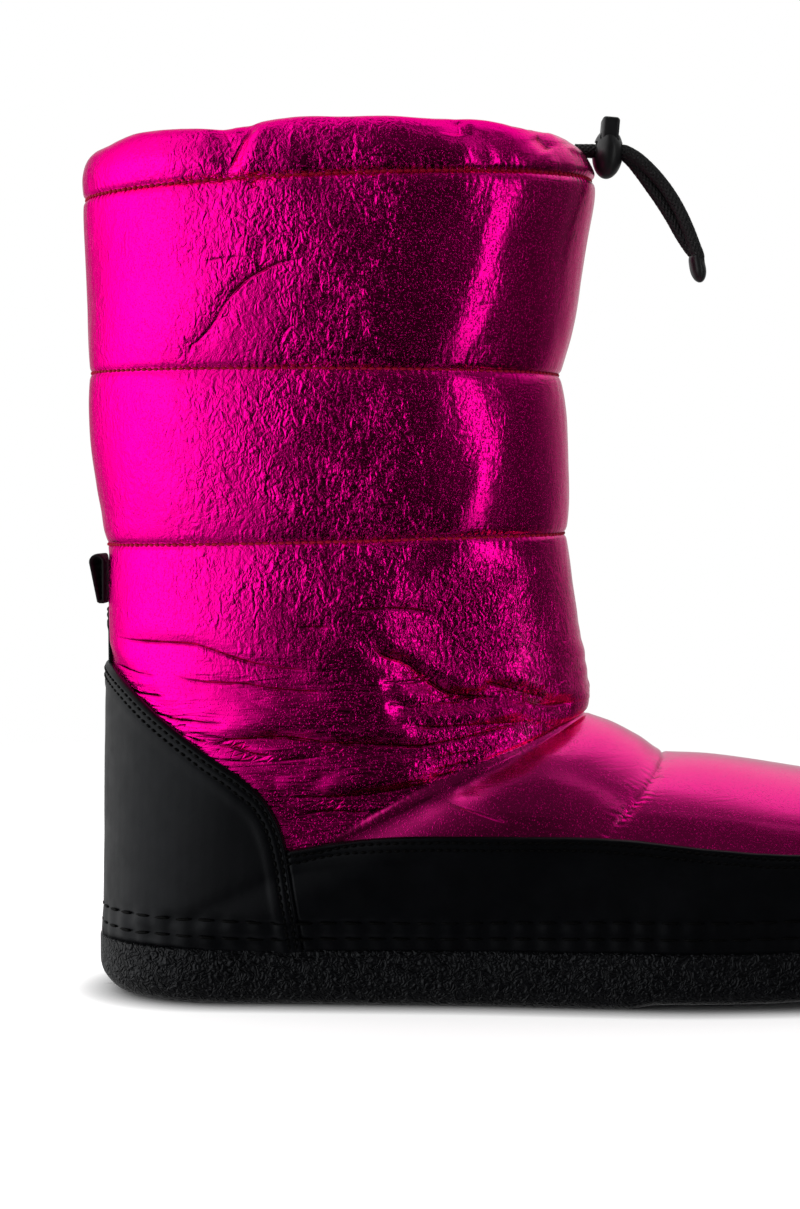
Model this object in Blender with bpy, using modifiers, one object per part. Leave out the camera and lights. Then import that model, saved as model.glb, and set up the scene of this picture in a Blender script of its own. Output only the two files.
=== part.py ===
"""A padded snow boot for the right foot: hollow quilted upper, overlays, moulded sole and drawcord lock.

X runs from heel to toe, Y from the outer (lateral) side to the inner (medial) side, Z up.
Sizes are in millimetres, with X measured from the back of the sole, until a mesh is made in metres.
The boot is then set with the middle of its footprint on the origin.
"""

import math

import bmesh
import bpy
import numpy as np

MM = 0.001
GAP, OVERLAY_GAP = 0.3, 0.4
WELD, FINE_WELD = 0.02, 0.001
ROUND_SEGMENTS = 2
LATERAL, MEDIAL = -1, 1

# Sole
SOLE_LENGTH = 285.0
SOLE_HEIGHT = 18.0
TOE_SPRING = 8.0
SPRING_START = 190.0
TOE_TURN = 6.0
TURN_START = 150.0
HEEL_ROUND, HEEL_POWER = 40.0, 2.3
TOE_ROUND, TOE_POWER = 84.0, 2.3
FOREFOOT_LIFT = 1.5
LIFT_START, LIFT_END = 162.0, 171.0
OUTLINE_STEPS = 26
GROOVE_WIDTH, GROOVE_DEPTH, GROOVE_MARGIN = 4.0, 2.2, 11.0
HEEL_GROOVES = (26.0, 42.0, 58.0, 74.0)
FOREFOOT_GROOVES = (146.0, 160.0, 178.0, 192.0, 206.0, 220.0, 234.0)

# Half widths of the sole to either side of its centre line: station, lateral, medial
OUTLINE = (
    (0.0, 38.5, 38.0),
    (40.0, 39.5, 38.5),
    (75.0, 41.0, 37.0),
    (110.0, 43.0, 35.5),
    (150.0, 47.5, 40.0),
    (185.0, 51.0, 48.0),
    (215.0, 51.0, 51.0),
    (250.0, 49.0, 51.0),
    (285.0, 47.0, 49.0),
)

# The sole's side from its top edge down and under: inset from the outline, height, share of the forefoot lift
SOLE_SIDE = (
    (0.9, 18.0, 0.0),
    (0.0, 17.0, 0.0),
    (0.0, 10.0, 0.0),
    (0.6, 6.8, 0.0),
    (2.1, 4.2, 0.2),
    (4.6, 1.6, 0.6),
    (8.2, 0.0, 1.0),
    (12.0, 0.0, 1.0),
    (13.6, 0.0, 0.0),
)

# Upper
UPPER_INSET = 2.6
UPPER_WALL = 5.0
WIDTH_BLEND = 6
COLUMNS = 12
PUFF_POWER = 4
SKIRT, TRIM = 4.0, 0.9
COVER_FADE = 9.0

# Sections of the upper, each a plane across the boot: front point, end point (its rise is above the
# feather edge), half width, share of the way back at which it is widest, roundness before and behind
SECTIONS = (
    # front_x, front_z, end_x, end_rise, half_width, widest, front_round, back_round
    (282.4, 26.9, 282.2, 0.0, 0.0, 0.90, 2.0, 2.0),
    (281.8, 34.5, 277.5, 0.0, 0.0, 0.60, 2.0, 2.0),
    (278.0, 43.5, 267.0, 0.0, 4.0, 0.62, 2.0, 2.0),
    (270.0, 51.5, 253.0, 0.0, 10.0, 0.64, 2.0, 2.0),
    (259.0, 57.5, 238.0, 0.0, 18.0, 0.66, 2.0, 2.0),
    (246.0, 61.8, 222.0, 0.0, 26.0, 0.67, 2.0, 2.0),
    (232.0, 65.0, 205.0, 0.0, 30.0, 0.68, 2.0, 2.0),
    (218.0, 67.6, 187.0, 0.0, 32.0, 0.68, 2.0, 2.0),
    (204.0, 70.0, 166.0, 0.0, 34.0, 0.66, 2.0, 2.0),
    (190.0, 72.0, 143.0, 0.0, 36.0, 0.64, 2.0, 2.0),
    (176.5, 73.4, 121.5, 0.0, 38.0, 0.60, 2.0, 2.0),
    (168.0, 78.2, 92.0, 0.0, 40.0, 0.56, 2.0, 2.1),
    (160.0, 82.4, 55.0, 0.0, 42.0, 0.52, 2.0, 2.3),
    (151.8, 86.0, 2.6, 0.0, 43.0, 0.50, 2.0, 2.5),
    (151.8, 88.5, 3.4, 20.0, 43.5, 0.50, 2.0, 2.5),
    (151.4, 92.5, 3.6, 43.0, 44.0, 0.50, 2.0, 2.4),
    (150.4, 98.5, 3.9, 66.0, 44.5, 0.50, 2.0, 2.3),
    (148.8, 109.0, 4.3, 89.0, 45.5, 0.50, 2.1, 2.2),
    (147.0, 124.0, 4.0, 105.0, 46.5, 0.50, 2.1, 2.2),
    (145.6, 142.0, 2.8, 120.2, 47.5, 0.50, 2.1, 2.1),
    (144.6, 158.0, 0.0, 138.0, 49.0, 0.50, 2.1, 2.1),
    (144.0, 174.0, -2.0, 155.5, 50.5, 0.50, 2.1, 2.1),
    (143.6, 190.8, -2.6, 173.0, 51.5, 0.50, 2.1, 2.1),
    (146.3, 210.0, -2.6, 191.0, 52.6, 0.50, 2.1, 2.1),
    (149.6, 230.0, -3.0, 208.5, 53.6, 0.50, 2.1, 2.1),
    (153.6, 250.6, -4.2, 226.0, 54.5, 0.50, 2.1, 2.1),
    (152.2, 255.4, -4.4, 232.6, 54.5, 0.50, 2.1, 2.1),
    (149.8, 260.4, -3.2, 239.4, 53.0, 0.50, 2.1, 2.1),
    (146.6, 263.8, 0.4, 243.8, 49.8, 0.50, 2.1, 2.1),
    (142.4, 265.6, 5.0, 246.0, 45.6, 0.50, 2.1, 2.1),
)

# Padded panels between seams, as rows of SECTIONS: first row, last row, swelling, steps
PANELS = (
    (0, 10, 1.6, 12),
    (10, 13, 1.6, 12),
    (13, 19, 1.8, 10),
    (19, 22, 1.9, 6),
    (22, 25, 2.2, 6),
    (25, 29, 1.0, 5),
)

# Overlays, drawn from the side on the rows of SECTIONS that they reach over
COUNTER_ROWS, RAND_ROWS = (11, 19), (0, 15)
COUNTER_WALL, RAND_WALL, BACKSTAY_WALL = 1.9, 1.5, 1.2
BACKSTAY_WIDTH, BACKSTAY_TOP = 11.0, 119.4
COUNTER_EDGE = (
    (2.0, 104.0),
    (10.0, 97.4),
    (20.0, 88.6),
    (37.5, 75.8),
    (47.5, 69.2),
    (54.5, 62.4),
    (59.0, 53.0),
    (61.8, 39.0),
    (64.8, 18.3),
)
RAND_TOP = (
    (59.0, 48.3),
    (80.0, 51.4),
    (106.0, 52.8),
    (141.0, 52.2),
    (160.0, 51.0),
    (186.0, 48.2),
    (212.0, 46.4),
    (240.0, 46.0),
    (285.0, 49.0),
)
OUTLINE_STEP, EDGE_STEP = 6.0, 1.0
SIDE_REACH = 90.0
BELOW = 10.0

# Pull loop, a folded strap behind the shaft
LOOP_WIDTH, LOOP_STRAP = 12.0, 1.3
LOOP_FOOT, LOOP_HEIGHT, LOOP_DEPTH = 120.0, 15.6, 5.4
LOOP_FOOT_DEPTH = 2.9
FOLD_POINTS = 9

# Insole
INSOLE_INSET, INSOLE_HEIGHT = 8.8, 4.0

# Drawcord and its lock
CORD_DIAMETER = 3.4
CORD_SPACING = 3.7
CORD_HEIGHT = 260.4
CORD_STEP = 3.5
SLOT_BOTTOM, SLOT_CLEARANCE = 147.4, 0.4
LOCK_X, LOCK_Z, LOCK_TILT = 158.2, 259.6, math.radians(5.0)
LOCK_HALF = (4.8, 7.2, 7.8)
LOCK_SEGMENTS, LOCK_RINGS = 20, 12
TUNNEL_CLEARANCE = 0.8
BUTTON_SIZE = (5.4, 9.8)
BUTTON_TOP, BUTTON_FOOT = 11.0, -1.2
BUTTON_ROUND = 1.1
BUTTON_TRAVEL = 2.4
BUTTON_CLEARANCE = 0.3
TIP_HALF, TIP_ROUND, TIP_GAP = (2.5, 4.0, 2.6), 1.2, 0.3

# Routes of the two cord ends, from inside the collar through the lock to the end sleeve: x, y, z
CORD_ROUTES = {
    "drawcord_lateral": (
        (147.9, -1.85, 260.4),
        (153.0, -1.85, 260.4),
        (158.0, -1.85, 260.4),
        (162.6, -1.85, 260.3),
        (166.4, -1.85, 258.8),
        (170.4, -1.7, 255.9),
        (174.4, -1.4, 252.0),
        (178.0, -1.2, 247.3),
        (181.0, -1.2, 242.0),
        (183.4, -1.3, 236.4),
        (185.3, -1.6, 230.8),
        (186.3, -1.8, 227.6),
        (186.4, -1.85, 225.0),
    ),
    "drawcord_medial": (
        (147.9, 1.85, 260.4),
        (153.0, 1.85, 260.4),
        (158.0, 1.85, 260.4),
        (162.2, 1.85, 260.1),
        (165.0, 1.85, 258.0),
        (167.9, 1.7, 254.2),
        (171.0, 1.4, 249.6),
        (174.4, 1.2, 244.7),
        (177.8, 1.2, 239.6),
        (181.0, 1.3, 234.4),
        (184.0, 1.6, 230.4),
        (186.2, 1.8, 227.6),
        (186.4, 1.85, 225.0),
    ),
}

# Finishes: colour, roughness, metallic
FINISHES = {
    "foil_fabric": ((0.84, 0.0, 0.30), 0.32, 1.0),
    "black_overlay": ((0.012, 0.012, 0.014), 0.42, 0.0),
    "black_rubber": ((0.014, 0.014, 0.016), 0.55, 0.0),
    "black_felt": ((0.02, 0.02, 0.022), 0.95, 0.0),
    "black_plastic": ((0.012, 0.012, 0.013), 0.35, 0.0),
    "black_cord": ((0.015, 0.015, 0.017), 0.8, 0.0),
}


def clear_scene():
    for obj in list(bpy.data.objects):
        bpy.data.objects.remove(obj, do_unlink=True)


def new_collection(name):
    collection = bpy.data.collections.new(name)
    bpy.context.scene.collection.children.link(collection)
    return collection


def finish_material(name):
    if name in bpy.data.materials:
        return bpy.data.materials[name]
    colour, roughness, metallic = FINISHES[name]
    material = bpy.data.materials.new(name)
    material.use_nodes = True
    shader = material.node_tree.nodes["Principled BSDF"]
    shader.inputs["Base Color"].default_value = (*colour, 1.0)
    shader.inputs["Roughness"].default_value = roughness
    shader.inputs["Metallic"].default_value = metallic
    material.diffuse_color = (*colour, 1.0)
    return material


def smooth_rows(knots, rows, at):
    """The rows of a table read between its knots by a monotone cubic, so that no column overshoots."""
    knots = np.asarray(knots, float)
    rows = np.asarray(rows, float)
    steps = np.diff(knots)[:, None]
    slopes = np.diff(rows, axis=0) / steps
    before, after = slopes[:-1], slopes[1:]
    same_way = before * after > 0
    total = np.where(same_way, before + after, 1.0)
    tangents = np.vstack([slopes[:1], np.where(same_way, 2 * before * after / total, 0.0), slopes[-1:]])
    at = np.clip(np.asarray(at, float), knots[0], knots[-1])
    span = np.clip(np.searchsorted(knots, at, side="right") - 1, 0, len(steps) - 1)
    length = steps[span]
    share = (at - knots[span])[:, None] / length
    rest = 1 - share
    ends = rows[span] * (1 + 2 * share) * rest**2 + rows[span + 1] * (3 - 2 * share) * share**2
    turns = tangents[span] * share * rest**2 - tangents[span + 1] * share**2 * rest
    return ends + turns * length


def along(table, at):
    """The columns after the first of a table, read at values of its first column."""
    table = np.asarray(table, float)
    at = np.asarray(at, float)
    found = smooth_rows(table[:, 0], table[:, 1:], at.ravel())
    return found.reshape(*at.shape, -1)


def smooth_path(route, step):
    """Points about a step apart on a smooth curve through a route's own points."""
    route = np.asarray(route, float)
    reach = np.concatenate([[0.0], np.cumsum(np.linalg.norm(np.diff(route, axis=0), axis=1))])
    return smooth_rows(reach, route, np.linspace(0.0, reach[-1], round(reach[-1] / step) + 1))


def smooth_step(share):
    share = np.clip(share, 0.0, 1.0)
    return share * share * (3 - 2 * share)


def spring(x):
    """How far the sole is raised towards the toe."""
    return TOE_SPRING * (np.maximum(x - SPRING_START, 0.0) / (SOLE_LENGTH - SPRING_START)) ** 2


def centre_line(x):
    return TOE_TURN * smooth_step((x - TURN_START) / (SOLE_LENGTH - TURN_START))


def feather_edge(x):
    """Height of the upper's lower edge, just over the sole."""
    return SOLE_HEIGHT + GAP + spring(x)


def half_width(x, side, inset):
    """Half width of the footprint on one side, drawn in by an inset all round."""
    station = np.clip((x - inset) / (SOLE_LENGTH - 2 * inset), 0.0, 1.0) * SOLE_LENGTH
    base = along(OUTLINE, station)[..., 0 if side == LATERAL else 1]
    heel = np.clip(1 - station / HEEL_ROUND, 0.0, 1.0)
    toe = np.clip(1 - (SOLE_LENGTH - station) / TOE_ROUND, 0.0, 1.0)
    ends = (1 - heel**HEEL_POWER) ** (1 / HEEL_POWER) * (1 - toe**TOE_POWER) ** (1 / TOE_POWER)
    return (base - inset) * ends


def cover_height(x):
    """Top of the counter or the rand, whichever lies at this station."""
    counter = along(COUNTER_EDGE, x)[..., 0]
    rand = along(RAND_TOP, x)[..., 0]
    return np.maximum(counter, rand)


def panel_rows():
    """Positions of the upper's rows in SECTIONS, closer together at the seams, and the padding's swelling there."""
    places, swelling = [], []
    for first, last, puff, steps in PANELS:
        for step in range(steps):
            share = (1 - math.cos(math.pi * step / steps)) / 2
            from_seam = 2 * min(share, 1 - share)
            places.append(first + (last - first) * share)
            swelling.append(puff * (1 - (1 - from_seam) ** PUFF_POWER))
    places.append(float(PANELS[-1][1]))
    swelling.append(0.0)
    return np.array(places), np.array(swelling)


def section_side(table, side):
    """Points of one side of every section, from its front to its end."""
    front_x, front_z, end_x, rise, half, widest, front_round, back_round = (column[:, None] for column in table.T)
    end_z = feather_edge(end_x) + np.where(rise > 0, rise, -TRIM)
    widest_x = front_x + (end_x - front_x) * widest
    at_sole = np.where(rise > 0, 0.0, half_width(end_x, side, UPPER_INSET))
    mean = (half_width(widest_x, LATERAL, UPPER_INSET) + half_width(widest_x, MEDIAL, UPPER_INSET)) / 2
    lean = half_width(widest_x, side, UPPER_INSET) / np.maximum(mean, GAP)
    full = (at_sole**WIDTH_BLEND + (half * lean) ** WIDTH_BLEND) ** (1 / WIDTH_BLEND)
    full = np.maximum(full, GAP)
    turn = np.linspace(0.0, 1.0, COLUMNS // 2 + 1)[None, :]
    quarter = turn * math.pi / 2
    before = widest * (1 - np.maximum(np.cos(quarter), 0.0) ** (2 / front_round))
    out_before = full * np.sin(quarter) ** (2 / front_round)
    open_share = at_sole / full
    back = (1 - open_share) * np.sin(quarter) ** (2 / back_round) + open_share * turn
    behind = widest + (1 - widest) * back
    left_over = np.maximum(1 - back**back_round * (1 - open_share**back_round), 0.0)
    out_behind = full * left_over ** (1 / back_round)
    share = np.hstack([before, behind[:, 1:]])
    out = np.hstack([out_before, out_behind[:, 1:]])
    x = front_x + (end_x - front_x) * share
    z = front_z + (end_z - front_z) * share
    return np.stack([x, centre_line(x) + side * out, z], axis=-1)


def upper_grid(offset, first=0, last=len(SECTIONS) - 1):
    """Grid of points on the upper's outer face, moved out by an offset: rows from toe to rim, columns round the boot."""
    places, swelling = panel_rows()
    wanted = (places >= first) & (places <= last)
    table = smooth_rows(np.arange(len(SECTIONS)), SECTIONS, places)
    lateral = section_side(table, LATERAL)
    medial = section_side(table, MEDIAL)
    grid = np.concatenate([lateral[:, ::-1], medial[:, 1:]], axis=1)
    normals = np.cross(np.gradient(grid, axis=1), np.gradient(grid, axis=0))
    normals /= np.linalg.norm(normals, axis=-1, keepdims=True)
    closed = np.linalg.norm(grid[:, 0] - grid[:, -1], axis=-1) < WELD
    shared = normals[closed, 0] + normals[closed, -1]
    normals[closed, 0] = normals[closed, -1] = shared / np.linalg.norm(shared, axis=-1, keepdims=True)
    fade = smooth_step((grid[..., 2] - cover_height(grid[..., 0])) / COVER_FADE)
    return (grid + normals * (swelling[:, None] * fade + offset)[..., None])[wanted]


def new_object(name, mesh, finish, collection):
    obj = bpy.data.objects.new(name, mesh)
    collection.objects.link(obj)
    if finish:
        mesh.materials.append(finish_material(finish))
    return obj


def mesh_of(name, points, faces):
    mesh = bpy.data.meshes.new(name)
    mesh.from_pydata([tuple(point) for point in np.asarray(points) * MM], [], faces)
    work = bmesh.new()
    work.from_mesh(mesh)
    bmesh.ops.remove_doubles(work, verts=work.verts, dist=WELD * MM)
    work.to_mesh(mesh)
    work.free()
    mesh.shade_smooth()
    return mesh


def upper_surface(name, offset, *rows):
    """The upper's outer face as an open surface, with a skirt below its feather edge that is trimmed off later.

    Its two back edges are welded where the shaft is closed, and there the skirt ends.
    """
    grid = upper_grid(offset, *rows)
    closed = np.linalg.norm(grid[:, 0] - grid[:, -1], axis=-1) < WELD
    lowered = np.array([0.0, 0.0, -SKIRT])
    grid = np.concatenate([grid[:, :1] + lowered, grid, grid[:, -1:] + lowered], axis=1)
    first_closed = int(np.argmax(closed))
    if not closed[0]:
        grid = np.concatenate([grid[:1], grid])
        grid[0, 1:-1] += lowered
        first_closed += 1
    rows, columns = grid.shape[:2]
    faces = []
    for row in range(rows - 1):
        skirted = row < first_closed
        for column in range(0 if skirted else 1, columns - 1 if skirted else columns - 2):
            low = row * columns + column
            high = low + columns
            if column < columns // 2:
                faces += [(low, low + 1, high + 1), (low, high + 1, high)]
            else:
                faces += [(low, low + 1, high), (low + 1, high + 1, high)]
    return mesh_of(name, grid.reshape(-1, 3), faces)


def thicken(obj, wall, outwards):
    modifier = obj.modifiers.new("Wall", "SOLIDIFY")
    modifier.thickness = wall * MM
    modifier.offset = 1.0 if outwards else -1.0


def cut(obj, cutter, operation, solver="EXACT"):
    modifier = obj.modifiers.new(cutter.name, "BOOLEAN")
    modifier.operation = operation
    modifier.solver = solver
    modifier.object = cutter


def as_cutter(obj):
    obj.hide_render = True
    obj.display_type = "WIRE"
    return obj


def outline_prism(name, outlines, thickness, finish, collection):
    """A flat shape drawn from the side as (x, z) outlines, one within another for a hole, and as wide as thickness."""
    curve = bpy.data.curves.new(name, "CURVE")
    curve.dimensions = "2D"
    curve.fill_mode = "BOTH"
    curve.extrude = thickness / 2 * MM
    for outline in outlines:
        spline = curve.splines.new("POLY")
        spline.points.add(len(outline) - 1)
        spline.use_cyclic_u = True
        for point, (x, z) in zip(spline.points, outline):
            point.co = (x * MM, z * MM, 0.0, 1.0)
    flat = bpy.data.objects.new(name, curve)
    collection.objects.link(flat)
    flat.rotation_euler.x = math.pi / 2
    bpy.context.view_layer.update()
    graph = bpy.context.evaluated_depsgraph_get()
    mesh = bpy.data.meshes.new_from_object(flat.evaluated_get(graph))
    work = bmesh.new()
    work.from_mesh(mesh)
    bmesh.ops.remove_doubles(work, verts=work.verts, dist=FINE_WELD * MM)
    bmesh.ops.recalc_face_normals(work, faces=work.faces)
    work.transform(flat.matrix_world)
    work.to_mesh(mesh)
    work.free()
    bpy.data.objects.remove(flat, do_unlink=True)
    mesh.name = name
    return new_object(name, mesh, finish, collection)


def rounded_box(name, low, high, radius, finish, collection):
    """A box between two corners with its edges rounded."""
    size = [top - bottom for bottom, top in zip(low, high)]
    middle = [(top + bottom) / 2 for bottom, top in zip(low, high)]
    mesh = bpy.data.meshes.new(name)
    work = bmesh.new()
    bmesh.ops.create_cube(work, size=MM)
    bmesh.ops.scale(work, vec=size, verts=work.verts)
    bmesh.ops.translate(work, vec=[value * MM for value in middle], verts=work.verts)
    work.to_mesh(mesh)
    work.free()
    obj = new_object(name, mesh, finish, collection)
    if radius:
        bevel = obj.modifiers.new("Rounded", "BEVEL")
        bevel.width = radius * MM
        bevel.segments = ROUND_SEGMENTS
    return obj


def egg(name, half, finish, collection):
    """An ellipsoid with the given half sizes."""
    mesh = bpy.data.meshes.new(name)
    work = bmesh.new()
    bmesh.ops.create_uvsphere(work, u_segments=LOCK_SEGMENTS, v_segments=LOCK_RINGS, radius=MM)
    bmesh.ops.scale(work, vec=half, verts=work.verts)
    work.to_mesh(mesh)
    work.free()
    mesh.shade_smooth()
    return new_object(name, mesh, finish, collection)


def footprint_ring(inset, height):
    """A closed loop round the footprint, from the toe along the lateral side to the heel and back, and its heights."""
    turns = np.arange(OUTLINE_STEPS + 1) * math.pi / OUTLINE_STEPS
    x = inset + (SOLE_LENGTH - 2 * inset) * (1 + np.cos(turns)) / 2
    sides = []
    for side in (LATERAL, MEDIAL):
        y = centre_line(x) + side * half_width(x, side, inset)
        sides.append(np.stack([x, y, height(x)], axis=-1))
    return np.concatenate([sides[0], sides[1][-2:0:-1]])


def footprint_solid(name, rings):
    """A solid between loops that run from its top edge, down its side, to its bottom, with strips across both ends."""
    count = len(rings[0])
    half = count // 2
    faces = []
    for level in range(len(rings) - 1):
        for point in range(count):
            nearby = (point + 1) % count
            faces.append((level * count + point, level * count + nearby,
                          (level + 1) * count + nearby, (level + 1) * count + point))
    for base, upwards in ((0, True), ((len(rings) - 1) * count, False)):
        for step in range(half):
            strip = [step, (count - step) % count, count - step - 1, step + 1]
            corners = list(dict.fromkeys(strip))
            faces.append(tuple(base + corner for corner in (corners if upwards else corners[::-1])))
    return mesh_of(name, np.concatenate(rings), faces)


def make_outsole(parts, cutters):
    rings = []
    for inset, height, lifted in SOLE_SIDE:
        def level(x, height=height, lifted=lifted):
            lift = FOREFOOT_LIFT * lifted * smooth_step((x - LIFT_START) / (LIFT_END - LIFT_START))
            return height + lift + spring(x)
        rings.append(footprint_ring(inset, level))
    sole = new_object("outsole", footprint_solid("outsole", rings), "black_rubber", parts)
    grooves = [(x, 0.0) for x in HEEL_GROOVES] + [(x, float(spring(x))) for x in FOREFOOT_GROOVES]
    for number, (x, rise) in enumerate(grooves, 1):
        inner = centre_line(x) + half_width(x, MEDIAL, GROOVE_MARGIN)
        outer = centre_line(x) - half_width(x, LATERAL, GROOVE_MARGIN)
        low = (x - GROOVE_WIDTH / 2, outer, rise - BELOW)
        high = (x + GROOVE_WIDTH / 2, inner, rise + GROOVE_DEPTH)
        cut(sole, as_cutter(rounded_box(f"tread_groove_{number}", low, high, 0, None, cutters)), "DIFFERENCE")
    return sole


def make_insole(parts):
    rings = [
        footprint_ring(INSOLE_INSET, lambda x: feather_edge(x) + INSOLE_HEIGHT),
        footprint_ring(INSOLE_INSET, feather_edge),
    ]
    return new_object("insole", footprint_solid("insole", rings), "black_felt", parts)


def make_upper(parts, cutters):
    upper = new_object("upper", upper_surface("upper", 0.0), "foil_fabric", parts)
    thicken(upper, UPPER_WALL, outwards=False)
    below = [(-SIDE_REACH, -BELOW), (-SIDE_REACH, SOLE_HEIGHT + GAP)]
    below += feather_points(0.0, SOLE_LENGTH) + [(SOLE_LENGTH, -BELOW)]
    under = as_cutter(outline_prism("under_feather_edge", [below], 2 * SIDE_REACH, None, cutters))
    cut(upper, under, "DIFFERENCE", "MANIFOLD")
    half_slot = (CORD_SPACING + CORD_DIAMETER) / 2 + SLOT_CLEARANCE
    half_height = CORD_DIAMETER / 2 + SLOT_CLEARANCE
    low = (SLOT_BOTTOM, -half_slot, CORD_HEIGHT - half_height)
    high = (LOCK_X, half_slot, CORD_HEIGHT + half_height)
    slot = rounded_box("drawcord_slot", low, high, CORD_DIAMETER / 4, None, cutters)
    cut(upper, as_cutter(slot), "DIFFERENCE", "MANIFOLD")
    return upper


def edge_points(table, first, last):
    """Points on a smooth edge between two stations, about OUTLINE_STEP apart."""
    count = max(2, round(abs(last - first) / OUTLINE_STEP) + 1)
    x = np.linspace(first, last, count)
    return [(float(a), float(b)) for a, b in zip(x, along(table, x)[:, 0])]


def feather_points(first, last):
    """Points along the upper's lower edge as it is seen from the side."""
    x = np.linspace(first, last, round(abs(last - first) / OUTLINE_STEP) + 1)
    return [(float(a), float(b)) for a, b in zip(x, feather_edge(x))]


def counter_front(gap, from_height):
    """The counter's edge as (x, z) points, moved forwards by a gap, from a height down to the sole."""
    edge = smooth_path(COUNTER_EDGE, EDGE_STEP)
    heights = np.linspace(from_height, edge[-1, 1], round((from_height - edge[-1, 1]) / OUTLINE_STEP) + 1)
    return [(float(x) + gap, float(z)) for x, z in zip(np.interp(-heights, -edge[:, 1], edge[:, 0]), heights)]


def make_counter(parts, cutters):
    outline = [(-SIDE_REACH, COUNTER_EDGE[0][1])] + counter_front(0.0, COUNTER_EDGE[0][1])
    outline.append((-SIDE_REACH, float(feather_edge(0.0))))
    region = as_cutter(outline_prism("counter_region", [outline], 2 * SIDE_REACH, None, cutters))
    counter = new_object("counter", upper_surface("counter", OVERLAY_GAP, *COUNTER_ROWS), "black_overlay", parts)
    thicken(counter, COUNTER_WALL, outwards=True)
    cut(counter, region, "INTERSECT", "MANIFOLD")
    return counter


def make_rand(parts, cutters):
    front = counter_front(GAP, RAND_TOP[0][1])
    outline = edge_points(RAND_TOP, SOLE_LENGTH, front[0][0]) + front[1:]
    outline += feather_points(front[-1][0], SOLE_LENGTH)[1:]
    region = as_cutter(outline_prism("rand_region", [outline], 2 * SIDE_REACH, None, cutters))
    rand = new_object("rand", upper_surface("rand", OVERLAY_GAP, *RAND_ROWS), "black_overlay", parts)
    thicken(rand, RAND_WALL, outwards=True)
    cut(rand, region, "INTERSECT", "MANIFOLD")
    return rand


def make_backstay(parts, cutters):
    low = (-SIDE_REACH, -BACKSTAY_WIDTH / 2, COUNTER_EDGE[0][1] + GAP)
    high = (SIDE_REACH / 2, BACKSTAY_WIDTH / 2, BACKSTAY_TOP)
    region = as_cutter(rounded_box("backstay_region", low, high, 0, None, cutters))
    strip = new_object("backstay", upper_surface("backstay", OVERLAY_GAP, *COUNTER_ROWS), "black_overlay", parts)
    thicken(strip, BACKSTAY_WALL, outwards=True)
    cut(strip, region, "INTERSECT", "MANIFOLD")
    return strip


def loop_outline(inset):
    """The folded strap from the side: a leaf, narrow at its foot and round at its fold, drawn in by an inset."""
    grid = upper_grid(0.0).reshape(-1, 3)
    level = np.abs(grid[:, 2] - LOOP_FOOT) < LOOP_HEIGHT
    front = grid[level, 0].min() - GAP - inset
    top = LOOP_FOOT + LOOP_HEIGHT - inset
    foot = LOOP_FOOT + inset
    depth = LOOP_DEPTH - 2 * inset
    radius = depth / 2
    turns = np.linspace(0.0, math.pi, FOLD_POINTS)
    fold = [(front - radius + radius * math.cos(turn), top - radius + radius * math.sin(turn)) for turn in turns]
    foot_depth = LOOP_FOOT_DEPTH - 2 * inset
    return [(front, foot)] + fold + [(front - foot_depth, foot)]


def make_pull_loop(parts):
    return outline_prism(
        "pull_loop", [loop_outline(0.0), loop_outline(LOOP_STRAP)], LOOP_WIDTH, "black_overlay", parts
    )


def make_drawcord(parts):
    strands = []
    for name, route in CORD_ROUTES.items():
        path = smooth_path(route, CORD_STEP)
        curve = bpy.data.curves.new(name, "CURVE")
        curve.dimensions = "3D"
        curve.bevel_depth = CORD_DIAMETER / 2 * MM
        curve.bevel_resolution = ROUND_SEGMENTS
        curve.use_fill_caps = True
        spline = curve.splines.new("POLY")
        spline.points.add(len(path) - 1)
        for point, place in zip(spline.points, path * MM):
            point.co = (*place, 1.0)
        strands.append(new_object(name, curve, "black_cord", parts))
    return strands


def make_drawcord_tip(parts):
    ends = np.array([route[-1] for route in CORD_ROUTES.values()])
    low = ends.mean(axis=0) - np.array([TIP_HALF[0], TIP_HALF[1], TIP_GAP + 2 * TIP_HALF[2]])
    high = ends.mean(axis=0) + np.array([TIP_HALF[0], TIP_HALF[1], -TIP_GAP])
    return rounded_box("drawcord_tip", low, high, TIP_ROUND, "black_plastic", parts)


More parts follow.
